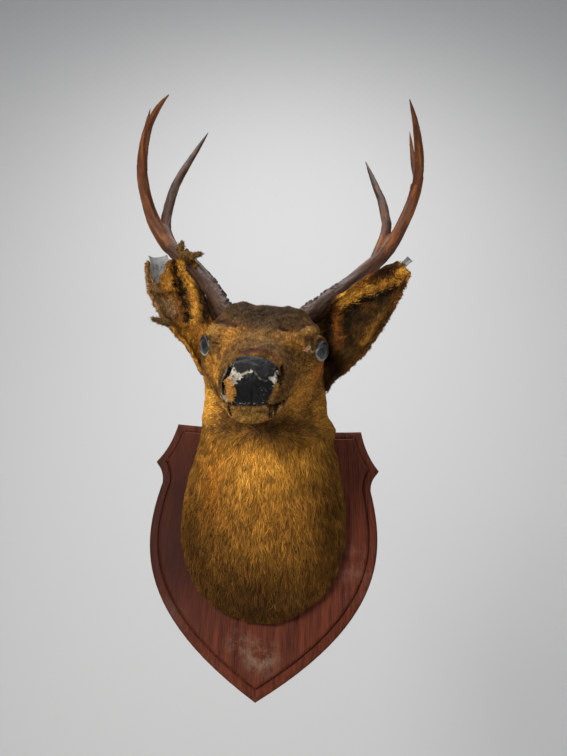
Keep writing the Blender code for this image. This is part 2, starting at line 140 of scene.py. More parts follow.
def stroke(q, path, wide, ragged=0):
    """1 on a bent line of that half width, 0 off it."""
    return 1 - rise(line_gap(q, path) + ragged, wide * 0.75, wide * 1.35)


def tone(r, g, b):
    """A display colour as linear light."""
    c = np.array((r, g, b)) / 255
    return np.where(c <= 0.04045, c / 12.92, ((c + 0.055) / 1.055) ** 2.4)


def blend(colour, shade, share):
    """A colour moved that share of the way to another."""
    return colour + share[:, None] * (shade - colour)


# ---- meshes


def linked(name, data):
    obj = bpy.data.objects.new(name, data)
    bpy.context.collection.objects.link(obj)
    return obj


def mesh_object(name, co, faces, colours=None, uvs=None):
    mesh = bpy.data.meshes.new(name)
    mesh.vertices.add(len(co))
    mesh.vertices.foreach_set("co", np.ascontiguousarray(co, np.float32).ravel())
    mesh.loops.add(faces.size)
    mesh.loops.foreach_set("vertex_index", faces.astype(np.int32).ravel())
    mesh.polygons.add(len(faces))
    mesh.polygons.foreach_set("loop_start", np.arange(0, faces.size, faces.shape[1], dtype=np.int32))
    mesh.update(calc_edges=True)
    mesh.shade_smooth()
    if uvs is not None:
        mesh.uv_layers.new(name="OFBake").data.foreach_set("uv", uvs.astype(np.float32).ravel())
    obj = linked(name, mesh)
    if colours is not None:
        paint(obj, colours)
    return obj


def paint(obj, colours):
    layer = obj.data.color_attributes.new("Marking", "FLOAT_COLOR", "POINT")
    rgba = np.ones((len(colours), 4), np.float32)
    rgba[:, :3] = np.clip(colours, 0, 1)
    layer.data.foreach_set("color", rgba.ravel())


def rows_of(items, key, width=3, kind=np.float32):
    """A property of a mesh's many items, as rows."""
    out = np.empty(len(items) * width, kind)
    items.foreach_get(key, out)
    return out.reshape(-1, width)


def points_of(obj):
    return rows_of(obj.data.vertices, "co").astype(float)


def normals_of(obj):
    return rows_of(obj.data.vertex_normals, "vector").astype(float)


def move_to(obj, co):
    obj.data.vertices.foreach_set("co", np.ascontiguousarray(co, np.float32).ravel())
    obj.data.update()


def from_bmesh(name, bm):
    mesh = bpy.data.meshes.new(name)
    bm.to_mesh(mesh)
    bm.free()
    mesh.shade_smooth()
    return linked(name, mesh)


def apply_modifiers(obj):
    graph = bpy.context.evaluated_depsgraph_get()
    done = bpy.data.meshes.new_from_object(obj.evaluated_get(graph))
    obj.modifiers.clear()
    obj.data = done


def grown(name, nodes, voxel, smoothing):
    """One closed skin round copies of CAD nodes."""
    bm = bmesh.new()
    for node_name in nodes:
        bm.from_mesh(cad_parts[node_name].data)
    obj = from_bmesh(name, bm)
    wrap = obj.modifiers.new("wrap", "REMESH")
    wrap.mode = "VOXEL"
    wrap.voxel_size = voxel
    wrap.use_smooth_shade = True
    soften = obj.modifiers.new("soften", "SMOOTH")
    soften.factor = 0.5
    soften.iterations = smoothing
    apply_modifiers(obj)
    obj.data.shade_smooth()
    return obj


def tube(name, path, radii, sides=8, closed=False):
    path = np.array(path, float)
    n = len(path)
    along = unit(np.roll(path, -1, 0) - np.roll(path, 1, 0))
    if not closed:
        along[0] = path[1] - path[0]
        along[-1] = path[-1] - path[-2]
        along = unit(along)
    across = unit(np.cross(along, (0.31, 0.62, 0.72)))
    other = np.cross(along, across)
    turn = np.arange(sides) * 2 * math.pi / sides
    ring = across[:, None] * np.cos(turn)[None, :, None] + other[:, None] * np.sin(turn)[None, :, None]
    co = (path[:, None] + ring * np.broadcast_to(np.array(radii, float), n)[:, None, None]).reshape(-1, 3)
    corner = np.arange(sides)
    after = (corner + 1) % sides
    faces = []
    for i in range(n if closed else n - 1):
        here = i * sides
        there = (i + 1) % n * sides
        faces.append(np.stack((here + corner, here + after, there + after, there + corner), 1))
    return mesh_object(name, co, np.concatenate(faces))


# ---- materials


def material(name, rough, colour=None, **shader):
    made = bpy.data.materials.new(name)
    made.use_nodes = True
    tree = made.node_tree
    face = tree.nodes["Principled BSDF"]
    face.inputs["Roughness"].default_value = rough
    for key, value in shader.items():
        face.inputs[key.replace("_", " ")].default_value = value
    if colour is not None:
        face.inputs["Base Color"].default_value = (*colour, 1)
    return made, tree, face


def node(tree, kind, sockets=(), **settings):
    made = tree.nodes.new("ShaderNode" + kind)
    for key, value in settings.items():
        setattr(made, key, value)
    for key, value in dict(sockets).items():
        if isinstance(value, bpy.types.NodeSocket):
            tree.links.new(value, made.inputs[key])
        else:
            made.inputs[key].default_value = value
    return made


def marked(name, rough, wobble, size, bump=0, depth=0, stretch=(1, 1, 1), detail=4, **shader):
    """A material of the painted marking, broken up by a fine noise that may also raise the surface."""
    made, tree, face = material(name, rough, **shader)
    mark = node(tree, "Attribute", attribute_name="Marking").outputs["Color"]
    spot = node(tree, "TexCoord").outputs["Object"]
    spread = node(tree, "Mapping", {"Vector": spot, "Scale": stretch}).outputs[0]
    grain = node(tree, "TexNoise", {"Vector": spread, "Scale": size, "Detail": detail}).outputs[0]
    level = node(tree, "MapRange", {"Value": grain, "From Min": 0.3, "From Max": 0.7,
                                    "To Min": 1 - wobble, "To Max": 1 + wobble}).outputs[0]
    scaled = node(tree, "VectorMath", {0: mark, "Scale": level}, operation="SCALE").outputs[0]
    tree.links.new(scaled, face.inputs["Base Color"])
    if bump:
        raised = node(tree, "Bump", {"Height": grain, "Strength": bump, "Distance": depth}).outputs[0]
        tree.links.new(raised, face.inputs["Normal"])
    return made


def dress(obj, made, slot, *nodes):
    """Material and body of a piece, and the CAD nodes it stands for; the slot is not used."""
    obj.data.materials.clear()
    obj.data.materials.append(made)
    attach(obj, "root")
    if nodes:
        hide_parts(*nodes)


# ---- the animal's markings


def fur(r, g, b):
    """A coat colour, brighter than it is seen since the blades shade each other."""
    return tone(r, g, b) * 1.5


GOLD = fur(186, 130, 50)
TAN = fur(146, 98, 36)
OLIVE = fur(84, 53, 16)
DARK = fur(44, 25, 5)
CAP = fur(43, 31, 17)
UMBER = fur(60, 40, 16)
LOBE = fur(134, 88, 32)
GRIZZLE = fur(77, 56, 28)
PALE = fur(140, 103, 50)
ORANGE = fur(160, 92, 26)
REDBROWN = fur(46, 26, 16)
BRICK = fur(62, 33, 15)
NEAR_BLACK = fur(20, 13, 7)
FACE = fur(79, 54, 24)
GREY = fur(134, 130, 122)
PINK = fur(170, 104, 74)
BONE = fur(190, 176, 156)
DUN = fur(148, 116, 76)
RUST = fur(112, 66, 28)
HOLLOW = fur(40, 30, 15)


def neck_share(h):
    below = rise(-h[:, 2], 0.104, 0.128)
    behind = rise(-h[:, 1], 0.045, 0.085)
    return np.maximum(below, behind)


# Markings on the head: (sideways, ahead, above) and reach along each in mm, colour, strength.
FACE_MARKS = [
    ((0, -60, 30), (76, 50, 44), UMBER, 0.9),
    ((0, -10, 46), (60, 48, 22), CAP, 0.9),
    ((0, 26, 36), (44, 20, 12), CAP, 0.4),
    ((6, 40, 34), (50, 22, 12), CAP, 0.3),
    ((2, 78, 30), (16, 18, 12), PALE, 0.35),
    ((6, 105, 28), (26, 22, 16), GRIZZLE, 0.55),
    ((0, 147, 24), (28, 13, 14), OLIVE, 0.8),
    ((-36, 62, 22), (16, 30, 14), TAN, 0.6),
    ((40, 56, 22), (14, 26, 12), TAN, 0.55),
    ((-66, 10, 21), (20, 24, 6.5), PALE, 0.95),
    ((58, 18, 23.5), (16, 22, 4.5), PALE, 0.9),
    ((60, 26, 16.5), (12, 14, 4), REDBROWN, 0.85),
    ((-58, 60, -22), (20, 34, 18), TAN, 0.75),
    ((-50, 100, -20), (20, 34, 20), GOLD, 0.4),
    ((-72, -5, -82), (24, 36, 30), GOLD, 0.85),
    ((74, 16, -30), (18, 22, 20), ORANGE, 0.6),
    ((50, 55, -54), (26, 60, 38), TAN * 1.1, 0.75),
    ((86, -12, -90), (24, 34, 30), TAN, 0.8),
    ((0, 165, -36), (34, 30, 13), PALE, 0.5),
    ((-26, 166, -34), (9, 20, 9), PALE * 1.2, 0.75),
    ((33, 152, -38), (9, 20, 9), PALE, 0.65),
    ((12, 160, -44), (12, 30, 6), OLIVE, 0.6),
    ((-20, 130, -55), (30, 40, 22), GOLD, 0.55),
    # Painted shadow under the chin, where it meets the throat.
    ((0, 60, -100), (60, 50, 20), OLIVE, 0.3),
    ((12, 30, -99), (36, 34, 6.5), DARK, 0.65),
]
# The mouth's line on the left, then lines of the head: path and half width in mm, colour, strength.
MOUTH = [(0, 186, -27), (22, 172, -27), (36, 150, -28), (44, 115, -34), (50, 85, -42)]
FACE_LINES = [
    ([(-66.8, -22, 27), (-47.7, 14.3, 31.4), (-32.5, 35.9, 31.2)], 3.4, REDBROWN, 0.95),
    ([(-23, 150, 19), (-13, 142, 23.5), (1, 136, 25.5), (13, 140, 24), (23, 148, 19.2)], 6, OLIVE, 0.75),
    ([(-11, 143, 22.2), (1, 139, 23.8), (12, 142, 22.6)], 8.2, BRICK * 0.85, 0.95),
    ([(-x, ahead, above) for x, ahead, above in MOUTH[2:]], 1.1, NEAR_BLACK, 0.7),
    (MOUTH[2:], 1.1, NEAR_BLACK, 0.7),
    ([(24.5, 40, 31.8), (40.6, 30, 30), (59.3, -8.3, 30)], 3.4, REDBROWN, 0.95),
    ([(-60, 40, 10), (-48.6, 55.4, 12.5)], 1.2, NEAR_BLACK, 0.9),
    ([(52, 52.5, 8.5), (57, 44, 8)], 1.6, PINK, 0.85),
    ([(56, 44, 10), (60, 37, 9.5)], 0.8, BONE, 0.8),
    ([(60, 40, 6), (64, 32, 1)], 1, BONE, 0.45),
    ([(34, 133, 8), (35.1, 149.4, 2)], 0.9, PINK, 0.9),
    ([(32.5, 130, 9), (32.2, 134, 8)], 1.4, NEAR_BLACK, 0.95),
    # The mouth's open corner on the right: painted shade in the gap.
    ([(28, 152, -24.5), (36, 142, -25.8), (42, 126, -28.5)], 2.4, NEAR_BLACK, 0.95),
]
# Markings on the neck: (sideways, out, up) as place() takes them and reach in mm, colour, strength.
NECK_MARKS = [
    ((-12, 95, 272), (50, 80, 38), GOLD, 0.9),
    ((-34, 90, 310), (50, 80, 34), GOLD, 0.24),
    ((4, 90, 205), (44, 80, 32), TAN, 0.45),
    ((-2, 85, 180), (20, 80, 30), GOLD, 0.22),
    ((56, 92, 296), (16, 40, 15), GOLD, 0.9),
    ((48, 88, 322), (30, 60, 34), GOLD, 0.62),
    ((-66, 80, 255), (12, 50, 40), ORANGE, 0.4),
    # Painted shadow under the chin, across the top of the throat.
    ((10, 100, 308), (70, 60, 10), OLIVE, 0.7),
    # Darker low down and at the sides: painted shade where the neck turns under and away.
    ((-94, 50, 180), (38, 60, 80), DARK, 0.8),
    ((94, 50, 200), (34, 60, 100), DARK, 0.72),
    ((0, 50, 96), (120, 80, 88), DARK, 0.97),
    ((-50, 50, 120), (40, 80, 40), DARK, 0.5),
    ((0, 0, 420), (120, 80, 120), UMBER, 0.85),
]


def streaks(p, h, neck):
    """Light and dark along the lie of the coat, as a factor."""
    down = p * (1, 1, 0.3)
    back = h * (1, 0.45, 1)
    on_neck = 0.1 * waves(down, 0.012, 81) + 0.2 * waves(down, 0.0045, 82) + 0.08 * waves(p, 0.034, 83)
    on_head = 0.14 * waves(back, 0.007, 84) + 0.2 * waves(back, 0.0032, 85) + 0.12 * waves(h, 0.02, 86)
    return np.exp(neck * on_neck + (1 - neck) * on_head)


# How dark the open lines of the muzzle are painted: painted shade in the creases and gaps.
CRACK_PAINTED_SHADE = 0.92


def crack_share(h, spread=1):
    """1 on the open lines of the muzzle."""
    out = np.zeros(len(h))
    fore = h[:, 1] > 0.13
    for path, wide in CRACKS:
        out[fore] = np.maximum(out[fore], stroke(flat(h[fore]), mm(path), mm(wide) * spread))
    return out


def snap(rows, surface):
    """Rows of lines laid down on the skin in short steps, in metres."""
    out = []
    for path, wide, shade, strength in rows:
        path = mm(path)
        steps = [a + t * (b - a) for a, b in zip(path[:-1], path[1:]) for t in np.arange(0, 1, 0.25)]
        steps = np.array(steps + [path[-1]])
        world = HEAD + (steps[:, 0] - NOSE_TURN * steps[:, 1])[:, None] * ASIDE
        world = world + steps[:, 1:2] * AHEAD + steps[:, 2:3] * ABOVE
        laid = np.array([surface.find_nearest(q)[0] for q in world.tolist()])
        out.append((head_coords(laid), mm(wide), shade, strength))
    return out


def marking(p):
    h = head_coords(p)
    neck = neck_share(h)
    colour = blend(FACE, TAN * 0.62, neck)
    for centre, reach, shade, strength in NECK_MARKS:
        colour = blend(colour, shade, strength * near(p, place(*mm(centre)), mm(reach)) * neck)
    ragged = np.exp(0.3 * waves(h, 0.009, 87) + 0.22 * waves(h, 0.004, 88))
    for centre, reach, shade, strength in FACE_MARKS:
        share = patch(h, mm(centre), mm(reach), ragged) * (1 - 0.8 * neck)
        colour = blend(colour, shade, strength * share)
    for path, wide, shade, strength in LAID_LINES:
        share = 1 - rise(line_gap(h, path) * ragged, wide * 0.6, wide * 1.5)
        colour = blend(colour, shade, strength * share)
    # Painted shade in the open lines of the muzzle.
    crack_darkening = CRACK_PAINTED_SHADE * crack_share(h, 1.3)
    return colour * (streaks(p, h, neck) * (1 - crack_darkening))[:, None]


# ---- the skin's form

# Swellings and hollows in mm, mirrored in the head: (sideways, ahead, above), reach, height.
FORMS = [
    ((58, 12, 26), (14, 18, 9), 3),
    ((60, 18, -20), (16, 22, 10), 1.8),
    ((52, 44, -2), (10, 11, 6), -3.2),
    ((44, 70, -12), (12, 22, 10), 1.2),
    ((26, 150, 10), (8, 14, 12), 1.8),
    ((36, 110, -4), (12, 20, 12), -1.5),
    ((20, 10, 42), (16, 16, 10), 1.4),
    ((0, 30, 36), (10, 40, 10), -1.4),
    ((30, 140, -18), (14, 16, 10), 1.8),
]
# The uneven crown between the antlers and the swellings round their roots, not mirrored, as above.
CROWN = [
    ((-30, -30, 46), (14, 22, 22), 8.5),
    ((-44, -40, 36), (14, 22, 22), 5),
    ((28, -26, 48), (10, 20, 20), 5.2),
    ((46, -40, 40), (14, 22, 22), 5),
    ((5, -22, 50), (13, 26, 20), -6.8),
]
# Folds of hide on the neck, as place() takes them: centre, reach, height.
NECK_FORMS = [
    ((56, 92, 296), (12, 40, 10), 4.2),
    ((88, 64, 338), (20, 34, 12), 8.5),
]
# Folds over the eyes, in the head, with depth. Creases of the neck, as place() takes them, with width, depth.
FURROW = [
    ([(-62, -4, 27), (-47.7, 14.3, 31.4), (-32.5, 35.9, 31.2)], 2.6),
    ([(-32.5, 35.9, 31.2), (0, 46, 33), (24.5, 40, 31.8)], 0.7),
    ([(24.5, 40, 31.8), (40.6, 30, 30), (59.3, -8.3, 30)], 2.6),
]
CREASES = [
    ([(-46, 80, 190), (-51, 77, 182), (-49, 74, 174), (-41, 73, 171)], 2.8, 4),
    ([(0, 94, 262), (2, 92, 236), (-1, 90, 215)], 4, 1.8),
]
# Open lines of the muzzle, sunk and painted near black: painted shade in the creases and gaps, over the
# mouth's own dark line. As (sideways, above) with half width, in mm: mouth, its open corner, cracks of
# the chin, a cut by the nostril.
CRACKS = [
    ([(15, -20.4), (18.1, -21.2), (24, -23), (29.5, -26.2)], 1.2),
    ([(26.8, -23.6), (30.5, -24.8), (33.8, -27.2), (34.6, -31)], 2.7),
    ([(20.6, -23.7), (20, -32), (19.6, -40.5)], 0.9),
    ([(25.8, -24.5), (25, -34), (24.7, -42)], 0.8),
    ([(-22.8, -27), (-21.6, -34), (-20.5, -40)], 1.1),
    ([(29, 11.5), (31.2, 5), (30.2, -3)], 1),
]
EYE_BALL = 0.0168
LID_BALL = 0.0177
EYE_REACH = 0.032
EYE_OUT = {1: 0.0022, -1: -0.0024}
EYE_ON = 0.0036
EYE_HALF = (0.0146, 0.0118)
EYE_FACING = math.radians(38)
EYE_TILT = -0.1


def eye_middle(side):
    return HEAD + side * (EYE_SPREAD + EYE_OUT[side]) * ASIDE + EYE_ON * AHEAD


def eye_frame(side):
    """Along the opening towards the nose, across it upwards, and straight out of it."""
    along = AHEAD * math.cos(EYE_FACING) - side * ASIDE * math.sin(EYE_FACING)
    outward = side * ASIDE * math.cos(EYE_FACING) + AHEAD * math.sin(EYE_FACING)
    return along, ABOVE, outward


def eye_parts(p, side):
    """Place in the eye's own frame: along the opening and across it in half openings, and outward."""
    along, across, outward = (((p - eye_middle(side)) @ axis) for axis in eye_frame(side))
    return along / EYE_HALF[0], (across - EYE_TILT * along) / EYE_HALF[1], outward


NECK_COAT = 0.0058
FACE_COAT = 0.0024


def coat_depth(h):
    """How deep the skin lies under the tips of the coat."""
    neck = neck_share(h)
    muzzle = rise(h[:, 1], 0.06, 0.13)
    return NECK_COAT * neck + (1 - neck) * (FACE_COAT - 0.001 * muzzle)


def shape_skin(p, n):
    """Points of the skin sunk under the coat, with the swellings, folds, mouth and eye openings."""
    h = head_coords(p)
    neck = neck_share(h)
    push = -coat_depth(h)
    mirrored = h.copy()
    mirrored[:, 0] = np.abs(mirrored[:, 0])
    for centre, reach, height in FORMS:
        push += mm(height) * near(mirrored, mm(centre), mm(reach))
    for centre, reach, height in CROWN:
        push += mm(height) * near(h, mm(centre), mm(reach))
    for centre, reach, height in NECK_FORMS:
        push += mm(height) * near(p, place(*mm(centre)), mm(reach))
    push -= 0.0034 * bell(line_gap(mirrored, mm(MOUTH)) / 0.0028)
    push -= 0.0026 * crack_share(h)
    for path, depth in FURROW:
        push -= mm(depth) * bell(line_gap(h, mm(path)) / 0.004)
    for path, width, depth in CREASES:
        gap = line_gap(p, [place(*q) for q in mm(path)]) / mm(width)
        push += mm(depth) * (0.6 * bell(gap - 1.6) - bell(gap))
    push += neck * (0.0011 * waves(p, 0.045, 21) + 0.0006 * waves(p, 0.016, 22))
    push += (1 - neck) * (0.0006 * waves(p, 0.018, 23) + 0.0008 * waves(p, 0.04, 24))
    crown = near(h, (0, -0.02, 0.044), (0.06, 0.04, 0.016))
    push += crown * (0.0016 + 0.0022 * waves(h, 0.022, 25))
    moved = p + n * push[:, None]
    moved[:, 1] = np.minimum(moved[:, 1], -RIM_FRONT - HIDE_GAP)
    for side in (-1, 1):
        u, v, outward = eye_parts(p, side)
        off = moved - eye_middle(side)
        gap = size_of(off)
        inside = 1 - u * u - np.abs(v)
        lid = (1 - rise(-inside, 0.15, 1.1)) * rise(outward, 0.0005, 0.0045)
        opened = rise(inside, -0.04, 0.06) * (outward > 0.002)
        wanted = np.maximum(gap, LID_BALL) * (1 - lid) + LID_BALL * lid
        wanted = wanted * (1 - opened) + np.minimum(gap, EYE_BALL - 0.0025) * opened
        wanted = np.where((gap < EYE_REACH) * (outward > -0.004), wanted, gap)
        moved = eye_middle(side) + off * (wanted / np.maximum(gap, 1e-6))[:, None]
    return moved


FLESH = ("neck_lower", "neck_upper", "head", "muzzle", "jaw")
SKIN_VOXEL = 0.0019
skin = grown("skin", FLESH + ("eye_left", "eye_right"), SKIN_VOXEL, 10)
move_to(skin, shape_skin(points_of(skin), normals_of(skin)))
bpy.context.view_layer.update()
LAID_LINES = snap(FACE_LINES, BVHTree.FromObject(skin, bpy.context.evaluated_depsgraph_get()))
paint(skin, marking(points_of(skin)) * 0.62)
hide = marked("hide", 0.8, 0.3, 420, 0.5, 0.0008, (1, 1, 0.35), Specular_IOR_Level=0.2)
dress(skin, hide, "coat", *FLESH)

# ---- tufts


def measure(given, p, n):
    """A value given outright, or worked out for each point."""
    return given(p, n) if callable(given) else given


class Surface:
    """A piece's triangles, with its normals, its own unwrap and a search tree."""

    def __init__(self, obj):
        bpy.ops.object.select_all(action="DESELECT")
        bpy.context.view_layer.objects.active = obj
        obj.select_set(True)
        bpy.ops.object.mode_set(mode="EDIT")
        bpy.ops.mesh.select_all(action="SELECT")
        bpy.ops.uv.smart_project(angle_limit=math.radians(66), island_margin=0.004)
        bpy.ops.object.mode_set(mode="OBJECT")
        mesh = obj.data
        mesh.calc_loop_triangles()
        loops = rows_of(mesh.loop_triangles, "loops", kind=np.int32)
        self.corners = rows_of(mesh.loop_triangles, "vertices", kind=np.int32)
        self.uv = rows_of(mesh.uv_layers[0].data, "uv", 2)[loops]
        self.co = points_of(obj)
        self.normals = normals_of(obj)
        self.search = BVHTree.FromObject(obj, bpy.context.evaluated_depsgraph_get())
        mesh.uv_layers.remove(mesh.uv_layers[0])

    def scatter(self, count, weight):
        a, b, c = (self.co[self.corners[:, i]] for i in range(3))
        area = 0.5 * size_of(np.cross(b - a, c - a))
        share = area * measure(weight, (a + b + c) / 3, unit(self.normals[self.corners].sum(1)))
        total = np.cumsum(share)
        steps = (np.arange(count) + chance.random(count)) / count * total[-1]
        pick = np.minimum(np.searchsorted(total, steps), len(total) - 1)
        u, v = chance.random(count), chance.random(count)
        fold = u + v > 1
        u[fold], v[fold] = 1 - u[fold], 1 - v[fold]
        w = np.stack((1 - u - v, u, v), 1)
        ids = self.corners[pick]
        p = (self.co[ids] * w[:, :, None]).sum(1)
        n = unit((self.normals[ids] * w[:, :, None]).sum(1))
        return p, n, (self.uv[pick] * w[:, :, None]).sum(1)

    def settle(self, p):
        """The nearest points of the surface."""
        return np.array([self.search.find_nearest(q)[0] for q in p.tolist()])


LEAF = np.array([(0, 2, 1), (0, 3, 2), (1, 2, 4), (2, 3, 4)])
LEAF_VERTS = 5
# A blade: its middle's place along it and share of its lift, its ridge's height, its root's depth.
MIDDLE = 0.45
MIDDLE_LIFT = 0.62
RIDGE = 0.28
ROOT_DEPTH = 0.0004
# Its root, left side, ridge, right side and tip: their brightness, with the root darker as painted shade and
# the ridge lighter than the sides as a painted highlight, and their places in the map.
LEAF_PAINTED_SHADING = (0.45, 0.88, 1.05, 0.88, 1.25)
LEAF_SPOT = 0.003
LEAF_MAP = np.array([(0, -1), (-1, 0), (0, 0), (1, 0), (0, 1)]) * LEAF_SPOT / 2
hair = marked("hair", 0.75, 0.25, 1400, detail=2, Specular_IOR_Level=0.09)


def tufts(name, surface, count, weight, lie, length, width, lift, colour, spread, tipped,
          pieces=1, loose=True, painted_shade=None):
    """Curved, ridged blades along the surface, in joined pieces; weight to colour as measure() takes them."""
    p, n, uv = surface.scatter(count, weight)
    order = chance.permutation(count)
    p, n, uv = p[order], n[order], uv[order]
    way = measure(lie, p, n)
    way = unit(way - (way * n).sum(1)[:, None] * n)
    across = np.cross(n, way)
    swing = chance.normal(0, spread, count) + 0.11 * waves(p, 0.034, 31)
    way = unit(way * np.cos(swing)[:, None] + across * np.sin(swing)[:, None])
    across = np.cross(n, way)
    long = measure(length, p, n) * chance.uniform(0.65, 1.25, count)
    wide = measure(width, p, n) * chance.uniform(0.7, 1.3, count)
    high = measure(lift, p, n) * chance.uniform(0.35, 1.15, count)
    bend = chance.normal(0, 0.1, count) * long
    mid = p + way * (long * MIDDLE)[:, None]
    tip = p + way * long[:, None] + across * bend[:, None]
    if not loose:
        mid, tip = surface.settle(mid), surface.settle(tip)
    mid = mid + n * (high * MIDDLE_LIFT)[:, None]
    tip = tip + n * high[:, None]
    root = p - n * ROOT_DEPTH
    side = across * wide[:, None]
    ridge = n * (wide * RIDGE)[:, None]
    co = np.stack((root, mid - side * 0.5, mid + ridge, mid + side * 0.5, tip), 1)
    base = measure(colour, p, n) * np.exp(chance.normal(-0.03, 0.27, count))[:, None]
    shades = np.stack([base * k for k in LEAF_PAINTED_SHADING], 1)
    # Darkening of the blades' middles and tips, used as painted shade over the muzzle's open lines.
    if painted_shade is not None:
        shades[:, 1:4] *= painted_shade(mid)[:, None, None]
        shades[:, 4] *= painted_shade(tip)[:, None]
    black = chance.random(count) < tipped
    shades[black, 4] *= 0.3
    shades[black, 1:4] *= 0.7
    spots = uv[:, None, :] + LEAF_MAP
    share = -(-count // pieces)
    for k in range(pieces):
        part = slice(k * share, min((k + 1) * share, count))
        size = part.stop - part.start
        faces = (LEAF[None] + (np.arange(size) * LEAF_VERTS)[:, None, None]).reshape(-1, 3)
        uvs = spots[part][:, LEAF.ravel(), :].reshape(-1, 2)
        piece_name = name + "_" + str(k + 1) if pieces > 1 else name
        colours = shades[part].reshape(-1, 3)
        dress(mesh_object(piece_name, co[part].reshape(-1, 3), faces, colours, uvs), hair, "coat")


NECK_MIDDLE = place(0, 0, 0.215)


def at_eyes(p, share):
    """The greater share at either eye, by how far points are past its opening and outward."""
    parts = [eye_parts(p, side) for side in (-1, 1)]
    return np.maximum(*(share(u * u + np.abs(v) - 1, outward) for u, v, outward in parts))


def open_eye(past, outward):
    return (past < 0.12) * (outward > 0)


def by_eye(p):
    """1 at the lids, falling to 0 about one opening further out."""
    return at_eyes(p, lambda past, outward: (1 - rise(past, 0.05, 1.7)) * rise(outward, -0.004, 0.002))


def coat_weight(p, n):
    h = head_coords(p)
    neck = neck_share(h)
    muzzle = rise(h[:, 1], 0.05, 0.12)
    w = neck + (1 - neck) * (2.6 + 3.4 * muzzle)
    w = w * (1 - at_eyes(p, open_eye)) * (p[:, 1] < -RIM_FRONT - 0.004) * (1 - crack_share(h))
    w = w * (1 - 0.999 * (h[:, 1] > 0.1555) * (np.abs(h[:, 0]) < 0.022) * (h[:, 2] > -0.02))
    nape = rise(n[:, 1], 0.2, 0.7) * neck
    return w * (1 - 0.45 * nape)


def coat_lie(p, n):
    h = head_coords(p)
    neck = neck_share(h)[:, None]
    outward = np.sign(h[:, 0:1]) * np.minimum(np.abs(h[:, 0:1]) / 0.05, 1)
    head = -AHEAD + 0.35 * outward * ASIDE - 0.3 * rise(-h[:, 2], -0.01, 0.05)[:, None] * ABOVE
    down = np.array((0, 0.34, -0.94)) + 0.1 * outward * ASIDE
    edge = rise(p[:, 1], -RIM_FRONT - 0.04, -RIM_FRONT - 0.006)[:, None]
    away = p - NECK_MIDDLE
    away[:, 1] = 0
    fan = unit(away) + (0, -0.05, 0)
    down = down * (1 - edge * 0.85) + fan * edge * 0.9
    round_eye = np.zeros((len(p), 3))
    for side in (-1, 1):
        off = p - eye_middle(side)
        round_eye += unit(off) * (size_of(off) < 0.04)[:, None]
    close = by_eye(p)[:, None]
    head = head * (1 - 0.85 * close) + 1.2 * close * round_eye
    return head * (1 - neck) + down * neck


def on_crown(h):
    return near(h, (0, -0.03, 0.046), (0.05, 0.03, 0.02))


def coat_length(p, n):
    h = head_coords(p)
    neck = neck_share(h)
    fore = rise(-h[:, 1], -0.04, 0.03)
    muzzle = rise(h[:, 1], 0.05, 0.12)
    face = 0.007 + 0.004 * fore - 0.0028 * muzzle + 0.003 * on_crown(h)
    return (face * (1 - 0.6 * by_eye(p))) * (1 - neck) + 0.019 * neck


def coat_width(p, n):
    h = head_coords(p)
    neck = neck_share(h)
    return (0.001 - 0.00025 * rise(h[:, 1], 0.05, 0.12)) * (1 - neck) + 0.00115 * neck


def coat_lift(p, n):
    h = head_coords(p)
    return coat_depth(h) * 0.85 + 0.0016 * on_crown(h)


def creased(p):
    """Painted shade: darkening of blades that lie over the open lines of the muzzle."""
    return 1 - CRACK_PAINTED_SHADE * crack_share(head_coords(p))


COAT_BLADES = 288000
tufts("coat", Surface(skin), COAT_BLADES, coat_weight, coat_lie, coat_length, coat_width, coat_lift,
      lambda p, n: marking(p), 0.2, 0.25, pieces=6, loose=False, painted_shade=creased)

# ---- ears

# Strokes on the ears: (sideways, height over the plaque's tip) along each and width in mm, colour, strength.
LEFT_STROKES = [
    ([(100, 425), (130, 455), (160, 500)], 34, UMBER, 0.85),
    ([(105, 448), (91, 435), (84, 412), (75, 372)], 15, UMBER, 0.9),
    ([(133, 434), (119, 425), (103, 413)], 6, OLIVE, 0.9),
    ([(110, 496), (126, 498), (143, 500)], 14, HOLLOW, 0.9),
    ([(107, 509), (129, 513), (148, 511), (163, 510)], 6, NEAR_BLACK, 0.95),
    ([(104, 500), (106, 480), (110, 465)], 6, NEAR_BLACK, 0.75),
    ([(139, 497), (128, 503)], 6, OLIVE, 0.45),
    ([(133, 472), (145, 480), (156, 488)], 8, GRIZZLE, 0.7),
    ([(136, 468), (150, 480)], 6, TAN, 0.35),
    ([(168, 497), (164, 486)], 5, RUST * 0.8, 0.85),
    ([(134, 459), (129, 450)], 6, TAN, 0.65),
    ([(86, 508), (89, 496), (90, 479), (93, 462)], 6, RUST * 0.72, 0.95),
    ([(87, 500), (90, 480)], 2.6, ORANGE, 0.45),
    ([(94, 511), (114, 518), (128, 521), (142, 522)], 5.2, GOLD, 0.97),
    ([(142, 521), (156, 524), (176, 519)], 5, TAN * 0.85, 0.95),
    ([(165, 526), (176, 522)], 5, GOLD, 0.7),
    ([(100, 523), (119, 528), (135, 532)], 4, RUST, 0.9),
    ([(138, 530), (160, 532)], 5, REDBROWN, 0.9),
    # Along the ear's inner edge against the head: painted shade in the gap.
    ([(76, 505), (76, 475), (80, 445)], 7, NEAR_BLACK, 0.97),
]
